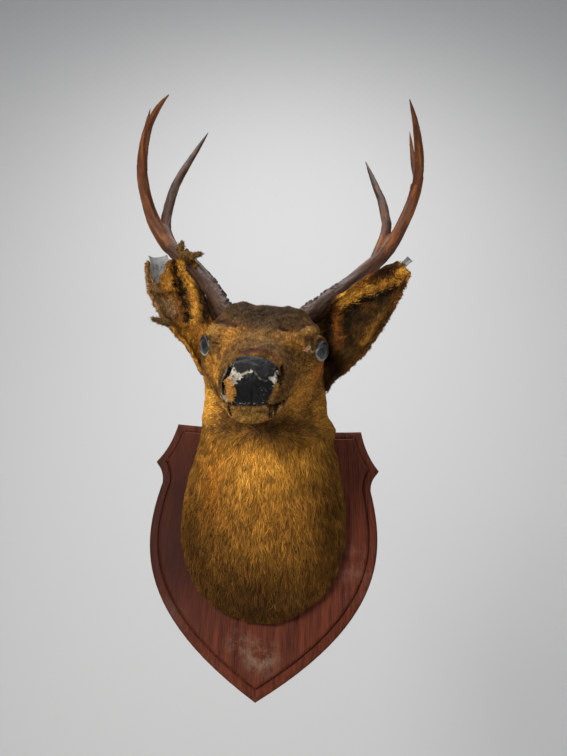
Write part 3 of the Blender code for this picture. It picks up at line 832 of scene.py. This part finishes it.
RIGHT_STROKES = [
    ([(-182, 536), (-172, 523), (-165, 502), (-150, 493)], 20, DUN, 0.85),
    ([(-176, 548), (-166, 538), (-155, 540)], 3, REDBROWN, 0.8),
    ([(-163, 605), (-163, 571), (-166, 557), (-164, 546)], 9.5, LOBE, 0.95),
    ([(-162, 565), (-164, 550)], 5, GOLD, 0.6),
    ([(-146, 530), (-138, 512), (-141, 496)], 8, RUST, 0.85),
    ([(-160, 490), (-150, 486)], 5, DARK, 0.6),
    ([(-156, 519), (-151, 508)], 2.6, GREY, 0.95),
    ([(-133, 485), (-117, 471), (-107, 446), (-98, 417), (-88, 390)], 15, LOBE * 1.1, 0.95),
    ([(-128, 470), (-116, 440), (-104, 410)], 5, GOLD, 0.5),
    ([(-144, 579), (-133, 564), (-128, 551), (-116, 530), (-118, 518), (-122, 500)], 5.2, GOLD, 0.97),
    ([(-157, 590), (-154, 566), (-143, 543), (-132, 524), (-129, 511), (-131, 494)], 5, NEAR_BLACK, 0.97),
    ([(-131, 583), (-124, 573)], 5, DARK, 0.92),
    ([(-149, 558), (-141, 541)], 7.8, NEAR_BLACK, 0.97),
    # Between the ear and the antler's root: painted shade.
    ([(-110, 548), (-101, 523), (-98, 500)], 10.5, NEAR_BLACK, 0.97),
]
# Each ear's strokes, its axis as (x, y, z), and its lower edge as the strokes, in mm.
EAR_MARKS = {"left": LEFT_STROKES, "right": RIGHT_STROKES}
EAR_TIP = {"left": (175, -200, 340), "right": (-172, -130, 380)}
EAR_ROOT = {"left": (70, -115, 250), "right": (-100, -95, 250)}
EAR_EDGES = {
    "left": [(75, 392), (103, 414), (130, 436), (141, 450), (161, 478), (173, 508), (182, 522)],
    "right": [(-134, 466), (-150, 480), (-175, 504.5), (-186, 531), (-191, 551), (-189, 585)],
}


def ear_map(p):
    """Points as (sideways, height over the plaque's tip)."""
    return np.stack((p[:, 0], p[:, 2] - TIP_Z), 1)


def ear_shade(p, n, side):
    colour = blend(OLIVE if side == "left" else TAN, OLIVE, 0.5 * rise(n[:, 1], -0.1, 0.4))
    front = rise(-n[:, 1], -0.2, 0.3)
    ragged = 0.0016 * waves(p, 0.01, 42)
    for path, wide, shade, strength in EAR_MARKS[side]:
        gap = np.maximum(line_gap(ear_map(p), mm(path)) + ragged, 0) / mm(wide)
        colour = blend(colour, shade, strength * (1 - rise(gap, 0.5, 1.5)) * front)
    # Painted shade: each ear's colour is dimmed, the right ear, which faces the key light, the more.
    painted_shade = 0.8 if side == "right" else 0.94
    return painted_shade * colour * np.exp(0.2 * waves(p, 0.009, 43) + 0.16 * waves(p, 0.004, 44))[:, None]


def make_ear(side):
    obj = grown("ear_skin_" + side, ("ear_" + side,), 0.0015, 6)
    p, n = points_of(obj), normals_of(obj)
    root = mm(EAR_ROOT[side])
    along = unit((mm(EAR_TIP[side]) - root)[None])[0]
    inward = np.array((1, 0, 0.3) if side == "right" else (-0.5, 0, 0.85))

    def off_axis(p):
        return p - root - ((p - root) @ along)[:, None] * along

    def colour(p, n):
        return ear_shade(p, n, side)

    def lie(p, n):
        return along + 0.35 * unit(off_axis(p))

    def fringe(p, n):
        return 1 - rise(line_gap(ear_map(p), mm(EAR_EDGES[side])), 0.006, 0.013)

    def fringe_lie(p, n):
        """Outward over the ear's lower edge, and a little to the tip."""
        return unit(off_axis(p)) + 0.35 * along + (0, 0, -0.35)

    p = p - n * (0.0016 + 0.0007 * waves(p, 0.012, 41))[:, None]
    p = p - off_axis(p) * 0.06 * rise(-(off_axis(p) @ inward), -0.004, 0.012)[:, None]
    if side == "right":
        p[:, 0] += 0.0045 * (1 - rise(p[:, 2] - TIP_Z, 0.42, 0.5))
    move_to(obj, p)
    paint(obj, colour(points_of(obj), normals_of(obj)) * 0.6)
    dress(obj, ear_hide, "coat", "ear_" + side)
    surface = Surface(obj)
    tufts("ear_coat_" + side, surface, 24000, 1, lie, 0.0085, 0.0011, 0.0022, colour, 0.42, 0.2,
          loose=False)
    tufts("ear_fringe_" + side, surface, 5000, fringe, fringe_lie, 0.005, 0.0012, 0.002, colour, 0.55, 0.3)


ear_hide = marked("ear_hide", 0.8, 0.35, 500, 0.6, 0.0008)
for side in ("left", "right"):
    make_ear(side)


def lobe_share(p):
    """Where the fur of an ear still lies over its liner."""
    x = p[:, 0] + 0.0015 * waves(p, 0.01, 53)
    up = p[:, 2] - TIP_Z
    beside = rise(x - np.interp(up, (0.553, 0.58, 0.614), (-0.174, -0.167, -0.152)), 0, 0.002)
    under = rise(np.interp(x, (-0.198, -0.189, -0.178), (0.566, 0.553, 0.546)) - up, 0, 0.002)
    tip = np.maximum(rise(0.169 - x, 0, 0.002), rise(0.526 - up, 0, 0.002))
    return np.where(x > 0, tip, np.maximum(beside, under))


# Of each ear's liner: brightness, lower on the left one as painted shade, colour under its fur, number of
# blades of that fur and their lie.
LINERS = {"left": (0.46, OLIVE, 1800, (0.8, 0, 0.6)), "right": (1, ORANGE, 7000, (0.1, 0, -1))}
liner = marked("liner", 0.45, 0.2, 220, 0.5, 0.0006)
for side, (bright, under_fur, blades, lie) in LINERS.items():
    obj = grown("liner_" + side, ("ear_liner_" + side,), 0.0009, 3)
    p = points_of(obj)
    spots = rise(waves(p, 0.01, 51) + 0.6 * waves(p, 0.004, 52), 0.5, 1.4)
    plain = blend(tone(150, 152, 152), tone(84, 72, 60), 0.6 * spots) * bright
    paint(obj, blend(plain, 0.5 * under_fur, lobe_share(p)))
    dress(obj, liner, "liner_metal", "ear_liner_" + side)
    tufts("lobe_coat_" + side, Surface(obj), blades, lambda p, n: lobe_share(p) + 0.0001, np.array(lie),
          0.008, 0.0011, 0.0016, lambda p, n: ear_shade(p, n, side), 0.35, 0.1)

# Scraps of hide torn off the right ear, then dark folds that close the ears' roots against the head, the two
# by the antler roots painted dark as the shade there: path (sideways, y, height over the plaque's tip) and
# half widths in mm, colour.
HIDE_PIECES = [
    ([(-148, -146, 579), (-140, -148, 579), (-130, -148, 577), (-121, -148, 580),
      (-114, -148, 582.5)], (3.8, 4.2, 4, 2.8, 1.2), GRIZZLE * 1.35),
    ([(-144, -148, 580), (-144.1, -148, 590), (-143.6, -148, 600)], (3.6, 3, 1.2), GRIZZLE * 1.2),
    ([(-150, -113, 479), (-159, -114, 480.8), (-168, -114, 483), (-175.5, -114, 486.2)],
     (3.2, 2.6, 1.7, 0.6), GRIZZLE),
    # Two dark folds by the antler roots, painted dark as the shade between ear and head.
    ([(-100, -112, 533.5), (-94.8, -113, 520.5), (-90, -114, 506), (-83.5, -116, 492),
      (-76, -117, 480)], (4, 5.4, 6.2, 7.4, 6), DARK * 0.7),
    ([(57, -122, 490), (65, -124, 496.5), (72.5, -125, 501), (79, -130, 506),
      (83.5, -136, 512)], (6.2, 5.6, 4.6, 3.6, 2.4), DARK * 0.7),
    ([(79, -90, 428), (80, -92, 408), (77, -95, 393)], (6, 5.8, 4), UMBER),
]
for i, (path, half, shade) in enumerate(HIDE_PIECES):
    path = mm(path) + (0, 0, TIP_Z)
    hide_piece = tube("scrap_" + str(i + 1), path, mm(half), 10)
    paint(hide_piece, np.tile(shade * 0.5, (len(hide_piece.data.vertices), 1)))
    dress(hide_piece, ear_hide, "coat")
    tufts("scrap_coat_" + str(i + 1), Surface(hide_piece), 800, 1, path[-1] - path[0], 0.007, 0.0011, 0.002,
          shade, 0.5, 0.1)

# ---- eyes

glass = marked("eye_glass", 0.25, 0.1, 300, 0.05, 0.0002, Coat_Weight=0.4, Coat_Roughness=0.1)
rim = marked("eye_rim", 0.5, 0.25, 700, 0.4, 0.0005)
LID_POINTS = 40
LID_SIDES = 8


def on_eye(side, radius, u, v):
    along, across, outward = eye_frame(side)
    x = u * EYE_HALF[0]
    z = v * EYE_HALF[1] + EYE_TILT * x
    out = np.sqrt(np.maximum(radius**2 - x**2 - z**2, 0))
    return eye_middle(side) + x[:, None] * along + z[:, None] * across + out[:, None] * outward


for side, name in ((1, "left"), (-1, "right")):
    bm = bmesh.new()
    bmesh.ops.create_uvsphere(bm, u_segments=48, v_segments=32, radius=EYE_BALL,
                              matrix=Matrix.Translation(eye_middle(side)))
    ball = from_bmesh("eyeball_" + name, bm)
    p = points_of(ball)
    u, v = eye_parts(p, side)[:2]
    pupil = rise(np.exp(-((u / 0.7) ** 2 + (v / 0.5) ** 2)), 0.3, 0.55)
    dull = tone(22, 24, 28) * (1 + 0.25 * waves(p, 0.006, 91))[:, None]
    paint(ball, blend(dull, tone(5, 5, 7), pupil))
    dress(ball, glass, "eye_glass", "eye_" + name)
    t = np.linspace(0, 2 * math.pi, LID_POINTS, endpoint=False)
    path = on_eye(side, LID_BALL, np.cos(t), np.sign(np.sin(t)) * np.sin(t) ** 2)
    thick = 0.0014 + 0.0006 * np.cos(t) - 0.0002 * np.sin(t) + 0.00015 * np.sin(5 * t + side)
    lid = tube("lid_" + name, path, thick, LID_SIDES, True)
    low = rise(np.cos(t) - 0.8 * np.sin(t), -0.2, 0.8).repeat(LID_SIDES)
    paint(lid, blend(tone(22, 18, 15), tone(134, 134, 120), low))
    dress(lid, rim, "coat")

# ---- nose

# Nostrils, a torn flap of fur and an old crack of the pad, as (sideways, above) in the head.
SLITS = [
    [(-22.8, 15.5), (-25, 6.6), (-28.7, -0.7), (-31.6, -12)],
    [(27, 11), (29.7, 5.6), (28.3, -3)],
]
FLAP = mm([(-22.2, 0), (-20.4, -8.4), (-19.8, -16)])
CRACK = [(1.4, 11.5), (5.7, 8.1), (11.1, 3.6), (16.1, 2.6), (19, 4.3)]
# Its chipped pale marks: path and half width in mm, strength.
PLASTER = [
    ([(-12.9, 5.2), (-7.2, 9), (0.7, 11.2)], 1.3, 1),
    ([(-21, 12.5), (-18.5, 8.1), (-12.9, 5.2)], 2.4, 1),
    ([(-14.5, 7), (-17.2, -0.5)], 1.8, 1),
    ([(25.8, 8), (22.5, 4.2), (24.6, -0.5)], 2, 1),
    ([(19, 4.3), (25, 5)], 1.4, 1),
    (CRACK, 0.5, 0.16),
    ([(-23.2, 5.2), (-19, 4)], 1.3, 0.75),
]
# Where fur laps over the pad: the height of its lower edge, and its right and left edges by height, in mm.
PAD_LOW = ((-30, -16.2, 5.9, 16, 23), (-22.5, -23.6, -22.8, -21, -15))
PAD_RIGHT = ((-20, -11.7, -2.6, 1, 10), (16, 19.8, 22.5, 31.8, 31))
PAD_LEFT = ((-20, -11.3, -0.7, 6.6, 15), (-33.5, -33.8, -31, -27.3, -25))


def shape_nose(p, n):
    h = head_coords(p)
    q = flat(h)
    push = np.full(len(p), 0.0004)
    front = h[:, 1] > 0.15
    for path in SLITS:
        gap = line_gap(q, mm(path))
        push += (0.0008 * bell((gap - 0.0036) / 0.0016) - 0.006 * bell(gap / 0.002)) * front
    push -= 0.0012 * bell((q[:, 0] - 0.002) / 0.0012) * rise(-q[:, 1], -0.002, 0.01)
    push -= 0.001 * plaster_share(h)
    push += 0.00012 * waves(p, 0.004, 61) + 0.0003 * waves(p, 0.012, 62)
    push += 0.0022 * stroke(q, FLAP, 0.0036) + 0.0004 * stroke(q, FLAP, 0.0042) * waves(p, 0.005, 60)
    return p + n * push[:, None]


def plaster_share(h):
    """1 on the pale marks of the pad."""
    ragged = 0.0007 * waves(h, 0.004, 63)
    out = np.zeros(len(h))
    for path, wide, strength in PLASTER:
        out = np.maximum(out, strength * stroke(flat(h), mm(path), mm(wide), ragged))
    return out * (h[:, 1] > 0.148)


def nose_colour(p):
    h = head_coords(p)
    q = flat(h)
    colour = np.tile(tone(8, 8, 10), (len(p), 1))

    def lay(share, shade, strength=1):
        colour[:] = blend(colour, shade, strength * share)

    def line(path, wide, shade, strength, ragged=0):
        lay(stroke(q, mm(path), wide, ragged), shade, strength)

    torn = stroke(q, FLAP, 0.0042)
    under = np.interp(q[:, 0], mm((-21, -12.9, -7.2, 1, 5.7, 11.1, 16.1, 19, 26)),
                      mm((14, 6.2, 10, 12.5, 8.5, 4, 3, 4.5, 9)))
    lay(rise(q[:, 1] - under, -0.0006, 0.001), tone(15, 14, 14))
    # A grey patch on the upper front of the pad: painted sheen.
    lay(near(h, (0.01, 0.17, 0.012), (0.01, 0.05, 0.006)), tone(36, 36, 40), 0.6)
    scar = bell((q[:, 1] - under) / 0.0008) * (q[:, 0] < 0.004) * (q[:, 0] > -0.02)
    lay(scar, tone(14, 14, 16), 0.8)
    line([(-21.8, 12), (-21.5, 5), (-19, 1)], 0.0028, tone(104, 98, 90), 0.85)
    lay(stroke(q, FLAP, 0.0042, 0.001 * waves(h, 0.005, 65)), tone(168, 118, 52), 0.97)
    fans = rise(np.sin((q[:, 1] + 0.4 * q[:, 0]) * 1500), 0.2, 1)
    lay(fans * torn, tone(110, 66, 24), 0.45)
    line([(-31.6, -16.8), (-26.2, -19.5)], 0.003, tone(134, 131, 122), 0.9, 0.001 * waves(h, 0.004, 69))
    low = np.interp(q[:, 0], *mm(PAD_LOW))
    lay(bell((q[:, 1] - low) / 0.001), tone(8, 7, 7), 0.9)
    low_edge = bell((q[:, 1] - low - 0.0016) / 0.0008) * rise(waves(h, 0.003, 66), 0.5, 1.1)
    lay(low_edge * (np.abs(q[:, 0]) < 0.016), tone(150, 146, 136), 0.7)
    specks = rise(waves(h, 0.0022, 68, 24), 1.6, 2.2) * near(h, (0.014, 0.18, -0.01), (0.007, 0.05, 0.008))
    lay(specks, tone(150, 150, 146), 0.6)
    for path in SLITS:
        line(path, 0.0024, tone(3, 3, 4), 1)
    line([(30, 13), (32.8, 6), (31.2, -3)], 0.0013, tone(104, 106, 92), 0.9)
    line([(-26.2, 15), (-28.4, 7), (-32.2, -1), (-35, -11.3)], 0.0009, tone(128, 120, 100), 0.8)
    dirty = 0.62 + 0.3 * rise(waves(h, 0.005, 67), -0.8, 0.8)[:, None]
    lay(plaster_share(h), tone(186, 180, 164) * dirty)
    lay(nose_fur(h), 0.6 * marking(p))
    # Painted shade in the open lines of the muzzle.
    lay(crack_share(h), tone(6, 4, 4), 0.95)
    return colour


def nose_fur(h):
    """Where fur laps over the edge of the pad."""
    q = flat(h) + 0.0005 * waves(h, 0.004, 64)[:, None]
    below = rise(np.interp(q[:, 0], *mm(PAD_LOW)) - q[:, 1], 0.0006, 0.0014)
    right = rise(q[:, 0] - np.interp(q[:, 1], *mm(PAD_RIGHT)), 0, 0.0012)
    left = rise(np.interp(q[:, 1], *mm(PAD_LEFT)) - q[:, 0], 0, 0.0012)
    return np.maximum(np.maximum(below, right), left) * (1 - crack_share(h))


def nose_coat_colour(p, n):
    return blend(marking(p), tone(182, 128, 56), stroke(flat(head_coords(p)), FLAP, 0.005))


def lip_lie(p, n):
    h = head_coords(p)
    low = rise(-0.012 - h[:, 2], 0, 0.006)[:, None]
    outward = np.sign(h[:, 0:1]) * np.minimum(np.abs(h[:, 0:1]) / 0.02, 1)
    return (-AHEAD + 0.4 * outward * ASIDE) * (1 - low) + (-ABOVE - 0.3 * AHEAD + 0.5 * outward * ASIDE) * low


def lip_weight(p, n):
    h = head_coords(p)
    return np.maximum(nose_fur(h), 0.06 * stroke(flat(h), FLAP, 0.0028)) + 0.000001


PAD_VOXEL = 0.0007
pad = grown("nose", ("nose_pad",), PAD_VOXEL, 9)
p, n = points_of(pad), normals_of(pad)
paint(pad, nose_colour(p))
move_to(pad, shape_nose(p, n))
skin_like = marked("nose_pad", 0.55, 0.18, 900, 0.5, 0.0005, Specular_IOR_Level=0.16)
dress(pad, skin_like, "nose", "nose_pad")
tufts("nose_coat", Surface(pad), 9000, lip_weight, lip_lie, 0.0046, 0.0008, 0.0014, nose_coat_colour,
      0.35, 0.15, painted_shade=creased)

# ---- antlers

PARTS = ("base", "beam", "tip", "rear_tine", "top_tine")
BASE_RADIUS = 0.0126
ANTLER_VOXEL = 0.0015


def middle_line(name, count=10):
    """Points down the middle of a tapering CAD piece."""
    co = points_of(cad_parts[name])
    mean = co.mean(0)
    way = np.linalg.svd(co - mean, full_matrices=False)[2][0]
    t = (co - mean) @ way
    edges = np.linspace(t.min(), t.max(), count + 1)
    inside = [(t >= a) & (t <= b) for a, b in zip(edges[:-1], edges[1:])]
    return np.array([co[part].mean(0) for part in inside if part.sum() > 3])


def make_antler(side):
    """One antler's skin: bark grooves along it, pearls low down, and its colours."""
    nodes = ["antler_" + side + "_" + part for part in PARTS]
    obj = grown("antler_" + side, nodes, ANTLER_VOXEL, 5)
    p, n = points_of(obj), normals_of(obj)
    best, spin, run = np.full(len(p), 9.0), np.zeros(len(p)), np.zeros(len(p))
    for i, name in enumerate(nodes):
        start = 0
        for ab, t, on in steps_along(p, middle_line(name)):
            size = np.linalg.norm(ab)
            off = p - on
            gap = size_of(off)
            across = unit(np.cross(ab, (0.2, 0.9, 0.3))[None])[0]
            other = np.cross(ab / size, across)
            nearer = gap < best
            best[nearer] = gap[nearer]
            spin[nearer] = np.arctan2(off @ other, off @ across)[nearer]
            run[nearer] = (i * 0.3 + start + t * size)[nearer]
            start += size
    base = points_of(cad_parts[nodes[0]])
    root = base[base[:, 2] < base[:, 2].min() + 0.015].mean(0)
    from_root = size_of(p - root)
    rough = 1 - rise(from_root, 0.05, 0.12)
    ring = np.stack((np.cos(spin), np.sin(spin), run * 14), 1)
    groove = waves(ring, 1.1, 71) + 0.6 * waves(ring, 0.55, 72)
    pearls = rise(waves(p, 0.0075, 73, 16), 0.35, 1.3)
    thin = np.clip(best / 0.01, 0.15, 1)
    inner = rise(n[:, 2] - 0.5 * n[:, 0] * (1 if side == "left" else -1), 0.2, 0.8)
    push = 0.00035 * groove * thin + 0.0021 * pearls * rough * (0.3 + 0.9 * inner)
    line = middle_line(nodes[0])
    line = line if line[0, 2] < line[-1, 2] else line[::-1]
    line = np.vstack((line[1] + 2.5 * (line[1] - line[3]), line[1:]))
    foot = np.zeros_like(p)
    nearest = np.full(len(p), 9.0)
    for ab, t, on in steps_along(p, line):
        gap = size_of(p - on)
        foot[gap < nearest] = on[gap < nearest]
        nearest = np.minimum(nearest, gap)
    slim = np.minimum(1, BASE_RADIUS / np.maximum(nearest, 1e-6))
    held = 1 - rise(from_root, 0.045, 0.07)
    shaped = foot + (p - foot) * (1 - (1 - slim) * held)[:, None]
    move_to(obj, shaped + n * (push - 0.0003)[:, None])
    warm = rise(from_root, 0.08, 0.2)
    colour = blend(tone(61, 41, 28), tone(91, 47, 19), warm)
    # Darker towards the back, over the rear tines behind the beams: painted shade.
    colour = blend(colour, tone(42, 29, 24), 0.88 * warm * rise(p[:, 1], -0.135, -0.105))
    colour = colour * (1 + 0.16 * groove + 0.1 * waves(p, 0.05, 75))[:, None]
    # Lighter orange streaks along the ridges: a painted highlight over the ridges' own paler colour.
    streak = rise(groove + 0.4 * waves(p, 0.06, 76), 0.5, 1.6)
    colour = blend(colour, tone(152, 95, 38), 0.36 * warm * streak)
    paint(obj, blend(colour, tone(20, 15, 12), 0.9 * rough * inner * pearls))
    dress(obj, horn, "antler", *nodes)


horn = marked("antler", 0.55, 0.16, 160, 0.35, 0.0006, Specular_IOR_Level=0.3)
for side in ("left", "right"):
    make_antler(side)

# ---- plaque

bm = bmesh.new()
bm.from_mesh(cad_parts["plaque"].data)
bmesh.ops.remove_doubles(bm, verts=bm.verts, dist=0.00002)
shield = from_bmesh("shield", bm)
edge = shield.modifiers.new("edge", "BEVEL")
edge.width = 0.0009
edge.segments = 2
edge.limit_method = "ANGLE"
edge.angle_limit = math.radians(25)
shield.modifiers.new("flats", "WEIGHTED_NORMAL")
apply_modifiers(shield)

wood, tree, face = material("varnished_wood", 0.6, Specular_IOR_Level=0.1)


def grain_node(kind, sockets, **settings):
    return node(tree, kind, sockets, **settings).outputs[0]


spot = node(tree, "TexCoord").outputs["Object"]
stretch = grain_node("Mapping", {"Vector": spot, "Scale": (1, 1, 0.05)})
coarse = grain_node("TexNoise", {"Vector": stretch, "Scale": 130, "Detail": 5, "Roughness": 0.6})
fine = grain_node("TexNoise", {"Vector": stretch, "Scale": 700, "Detail": 3})
both = grain_node("Math", {0: coarse, 1: fine}, operation="ADD")
half = grain_node("Math", {0: both, 1: 0.5}, operation="MULTIPLY")
ramp = node(tree, "ValToRGB", {"Fac": half})
grain_colours = ((0.34, tone(49, 20, 11)), (0.67, tone(110, 54, 35)))
for stop, (position, colour) in zip(ramp.color_ramp.elements, grain_colours):
    stop.position = position
    stop.color = (*colour, 1)
current = ramp.outputs[0]
blotch = grain_node("TexNoise", {"Vector": spot, "Scale": 55, "Detail": 6, "Roughness": 0.7})
# Dust on the wood and darker patches on its left side: centre, reach, strength, colour, and how much of the
# blotches they take.
DUST = 0.45
DARK_PATCH = 0.15
for centre, reach, strength, colour, low in (
    ((0.004, -0.02, -0.15), 0.03, 0.75, tone(150, 128, 108), DUST),
    ((-0.024, -0.02, -0.135), 0.022, 0.6, tone(150, 128, 108), DUST),
    ((-0.115, -0.014, -0.105), 0.03, 0.5, tone(130, 104, 92), DUST),
    ((0.128, -0.016, -0.04), 0.06, 0.25, tone(150, 110, 96), DUST),
    ((-0.13, -0.016, 0.06), 0.15, 0.8, tone(40, 14, 8), DARK_PATCH),
    ((-0.12, -0.016, -0.04), 0.12, 0.8, tone(40, 14, 8), DARK_PATCH),
):
    gap = node(tree, "VectorMath", {0: spot, 1: centre}, operation="DISTANCE").outputs["Value"]
    close = grain_node("MapRange", {"Value": gap, "From Min": reach, "From Max": 0})
    flecked = grain_node("MapRange", {"Value": blotch, "From Min": low, "From Max": low + 0.23})
    share = grain_node("Math", {0: close, 1: flecked}, operation="MULTIPLY")
    share = grain_node("Math", {0: share, 1: strength}, operation="MULTIPLY")
    mix = node(tree, "Mix", {"Factor": share, "A": current, "B": (*colour, 1)}, data_type="RGBA")
    current = mix.outputs["Result"]
tree.links.new(current, face.inputs["Base Color"])
bumped = node(tree, "Bump", {"Height": both, "Strength": 0.25, "Distance": 0.0004})
tree.links.new(bumped.outputs[0], face.inputs["Normal"])
dress(shield, wood, "varnished_wood", "plaque")

# ---- stage, light and camera

pale, tree, face = material("backdrop", 0.9, tone(222, 222, 222))
FLOOR_DROP = 0.65
WALL_BACK = 2.6


def stage_plane(name, co):
    obj = mesh_object(name, np.array(co, float), np.array([(0, 1, 2, 3)]))
    obj.data.materials.append(pale)


z = TIP_Z - FLOOR_DROP
stage_plane("floor", [(-4, -4, z), (4, -4, z), (4, WALL_BACK, z), (-4, WALL_BACK, z)])
stage_plane("wall", [(-4, WALL_BACK, z), (4, WALL_BACK, z), (4, WALL_BACK, 7), (-4, WALL_BACK, 7)])


def soft_light(name, spot, aim, size, power, colour):
    data = bpy.data.lights.new(name, "AREA")
    data.shape = "DISK"
    data.size = size
    data.energy = power
    data.color = colour
    lamp = linked(name, data)
    lamp.location = spot
    lamp.rotation_euler = (Vector(aim) - Vector(spot)).to_track_quat("-Z", "Y").to_euler()


AIM = (0, -0.1, 0.1)
soft_light("key", (-1, -1.9, 0.3), AIM, 0.7, 36, (1, 0.96, 0.9))
soft_light("fill", (1.6, -1.6, 0.6), AIM, 1.4, 5, (0.94, 0.97, 1))
soft_light("top", (-0.3, -0.2, 2), AIM, 1.2, 12, (0.97, 0.98, 1))
soft_light("wall_wash", (0, -0.6, 3.4), (0, 2.8, 1.6), 3, 80, (1, 1, 1))

world = bpy.data.worlds.new("studio")
world.use_nodes = True
sky = world.node_tree.nodes["Background"].inputs
sky["Color"].default_value = (0.86, 0.88, 0.9, 1)
sky["Strength"].default_value = 0.3
bpy.context.scene.world = world
bpy.context.scene.view_settings.view_transform = "Standard"

CAMERA_PITCH = math.radians(28)
CAMERA_ROLL = math.radians(2.5)
lens = bpy.data.cameras.new("camera")
lens.lens = 28
lens.sensor_width = 36
lens.clip_start = 0.01
camera = linked("camera", lens)
camera.matrix_world = (
    Matrix.Translation(place(0.0175, 0.8174, 0.0143))
    @ Matrix.Rotation(math.radians(90) + CAMERA_PITCH, 4, "X")
    @ Matrix.Rotation(CAMERA_ROLL, 4, "Z")
)
bpy.context.scene.camera = camera
